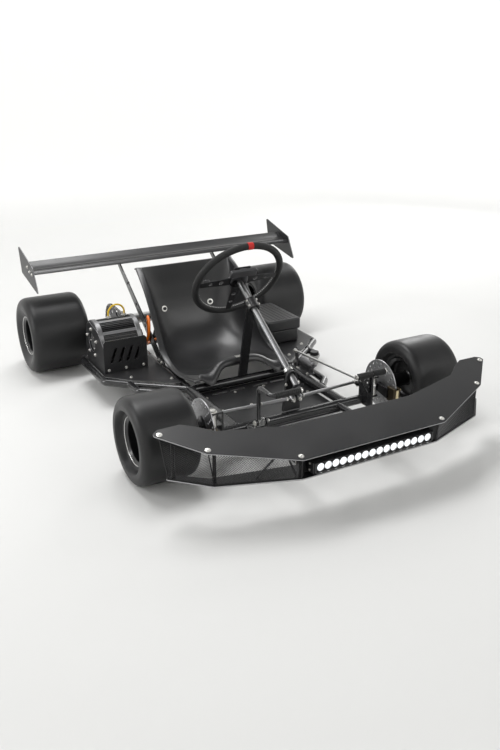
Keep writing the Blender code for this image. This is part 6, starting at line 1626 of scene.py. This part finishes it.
posts, domes, braces = [], [], []
normal = Vector((0, -math.sin(SLOPE), math.cos(SLOPE)))
for name, side in SIDES:
    for x, back in ((0.2200, 0.0300), (0.4250, 0.1120), (0.5080, 0.1810)):
        top = (side * x, EDGE_Y + back, plate_top(back - 0.005) - 0.0050)
        posts.append(bar((side * x, EDGE_Y + back, 0.1160), top, 0.005, 24))
    for x, y in ((0.2296, -0.7464), (0.4438, -0.6522), (0.5356, -0.5642)):
        dome = [(0, 0), (0.0078, 0), (0.0078, 0.0008), (0.0056, 0.0010), (0.0052, 0.0022), (0.0036, 0.0034),
                (0.0016, 0.0038), (0, 0.0038)]
        at = Vector((side * x, y, plate_top(y - EDGE_Y)))
        domes.append(lathe(dome, facing(at, normal), 28))
    for x0, b0, x1, b1 in ((0.2270, 0.040, 0.2530, 0.050), (0.3180, 0.080, 0.2640, 0.056)):
        top = (side * x1, EDGE_Y + b1, plate_top(b1) - 0.0105)
        braces.append(bar((side * x0, EDGE_Y + b0, 0.1185), top, 0.0028, 14))
done(joined(*posts), "nose_posts", "frame", powder, "frame_powder")
done(joined(*domes), "nose_dome_screws", "frame", zinc, "steel")
done(joined(*braces), "nose_braces", "frame", alloy, "frame_powder")


def panel(corners, across, up):
    """A flat grid between four corners, low left, low right, high right and high left."""
    fresh()
    bpy.ops.mesh.primitive_grid_add(x_subdivisions=across, y_subdivisions=up, size=2.0)
    piece = bpy.context.object
    a, b, c, d = (Vector(corner) for corner in corners)
    for vert in piece.data.vertices:
        u, v = (vert.co.x + 1) / 2, (vert.co.y + 1) / 2
        vert.co = a.lerp(b, u).lerp(d.lerp(c, u), v)
    return piece


def spot(x, back, high):
    """A point between the two sheets, under the upper one or on the lower one."""
    return (x, EDGE_Y + back, plate_top(back) - 0.0078 if high else 0.1170)


backs = []
low_line = [(-0.225, 0.018), (-0.205, 0.034), (-0.200, 0.046), (0.200, 0.046), (0.205, 0.034), (0.225, 0.018)]
for (xa, ba), (xb, bb) in zip(low_line, low_line[1:]):
    backs.append(panel((spot(xa, ba, False), spot(xb, bb, False), spot(xb, bb, True), spot(xa, ba, True)),
                       2, 2))
screen_wall = joined(*backs)
thick = screen_wall.modifiers.new("wall", "SOLIDIFY")
thick.thickness, thick.offset = 0.0012, 0
done(screen_wall, "nose_screen", "frame", sheet_coat, "sheet_black", "nose_grille")
CELL_WIDE, CELL_TALL = 0.0066, 0.0046
meshes, rims = [], []
for name, side in SIDES:
    line = [((0.2260, 0.0150), (0.2190, 0.0215)), ((0.4430, 0.1090), (0.4330, 0.0975)),
            ((0.5365, 0.1975), (0.5220, 0.1835))]
    for (ta, la), (tb, lb) in zip(line, line[1:]):
        a, b = (Vector(spot(side * x, back, False)) for x, back in (la, lb))
        c, d = (Vector(spot(side * x, back, True)) for x, back in (tb, ta))
        long, tall = (b - a).length, 0.5 * ((d - a).length + (c - b).length)
        piece = only(panel((a, b, c, d), max(2, round(long / CELL_WIDE)), max(2, round(tall / CELL_TALL))))
        edit()
        bpy.ops.mesh.select_mode(type="EDGE")
        bpy.ops.mesh.select_all(action="SELECT")
        bpy.ops.mesh.poke()
        bpy.ops.mesh.select_all(action="DESELECT")
        bpy.ops.object.mode_set(mode="OBJECT")
        faces_of = {}
        for polygon in piece.data.polygons:
            for key in polygon.edge_keys:
                faces_of.setdefault(key, []).append(polygon.index)
        first_new = min(max(polygon.vertices) for polygon in piece.data.polygons)
        for edge in piece.data.edges:
            edge.select = len(faces_of.get(edge.key, ())) == 2 and max(edge.vertices) < first_new
        bpy.ops.object.mode_set(mode="EDIT")
        bpy.ops.mesh.dissolve_edges()
        bpy.ops.mesh.select_mode(type="VERT")
        bpy.ops.object.mode_set(mode="OBJECT")
        wire = piece.modifiers.new("wire", "WIREFRAME")
        wire.thickness, wire.use_even_offset, wire.use_boundary = 0.0017, False, True
        bpy.ops.object.convert(target="MESH")
        meshes.append(bpy.context.object)
        for p, q in ((a, b), (b, c), (c, d), (d, a)):
            rims.append(bar(p, q, 0.0015, 8))
done(joined(*meshes), "expanded_metal", "frame", mesh_wire, "sheet_black", angle=30)
done(joined(*rims), "mesh_borders", "frame", sheet_coat, "sheet_black")


# Light bar: an extruded black housing with sixteen lamps, each a mirrored bowl behind a white lens, on
# two feet. A thin clear cover is left out, as the lenses close each bowl themselves.
shell = box((-0.196, -0.7530, 0.1260), (0.196, -0.7200, 0.1590), 0.0030, 3)
LAMPS, FIRST_LAMP, LAMP_PITCH = 16, -0.1755, 0.0234
frame_bar = []
for z0, z1 in ((0.1262, 0.1318), (0.1572, 0.1590)):
    frame_bar.append(box((-0.194, -0.7575, z0), (0.194, -0.7520, z1), 0.0008))
for side in (-1, 1):
    frame_bar.append(box((side * 0.1880, -0.7575, 0.1262), (side * 0.1940, -0.7520, 0.1590), 0.0008))
    frame_bar.append(box((side * 0.160 - 0.012, -0.745, 0.1168), (side * 0.160 + 0.012, -0.724, 0.1275),
                         0.0010))
for i in range(LAMPS - 1):
    x = FIRST_LAMP + LAMP_PITCH * (i + 0.5)
    frame_bar.append(box((x - 0.0011, -0.7562, 0.1310), (x + 0.0011, -0.7520, 0.1580), 0.0004))
done(joined(shell, *frame_bar), "lamp_housing", "frame", plastic, "light_housing", "light_bar")
bowl = [(0.0030, -0.0006), (0.0104, 0.0002), (0.0112, 0.0034), (0.0104, 0.0034), (0.0092, 0.0012),
        (0.0030, 0.0003)]
drop = [(0, 0), (0.0092, 0.0), (0.0096, 0.0012), (0.0086, 0.0026), (0.0058, 0.0036), (0.0026, 0.0041),
        (0, 0.0042)]
bowls, lenses, marks = [], [], []
for i in range(LAMPS):
    at = Vector((FIRST_LAMP + LAMP_PITCH * i, -0.7528, 0.1446))
    bowls.append(lathe(bowl, facing(at, (0, -1, 0)), 28))
    lenses.append(lathe(drop, facing(at, (0, -1, 0)), 28))
    marks.append(box((at.x - 0.0034, -0.7578, 0.1284), (at.x + 0.0034, -0.7570, 0.1296)))
done(joined(*bowls), "lamp_bowls", "frame", mirror, "light_housing")
done(joined(*lenses), "lamp_lenses", "frame", lens, "light_housing")
done(joined(*marks), "lamp_marks", "frame", pale_plastic, "light_housing")
ends = [cap_screw((side * 0.196, -0.7365, z), (side, 0, 0), 0.0030, 0.0024, False)
        for side in (-1, 1) for z in (0.1335, 0.1515)]
done(joined(*ends), "lamp_end_screws", "frame", zinc, "steel")


size = {"cad": cad_box, "visual": [list(corner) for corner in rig.bounds()]}
with open("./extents.json", "w") as out:
    json.dump(size, out)
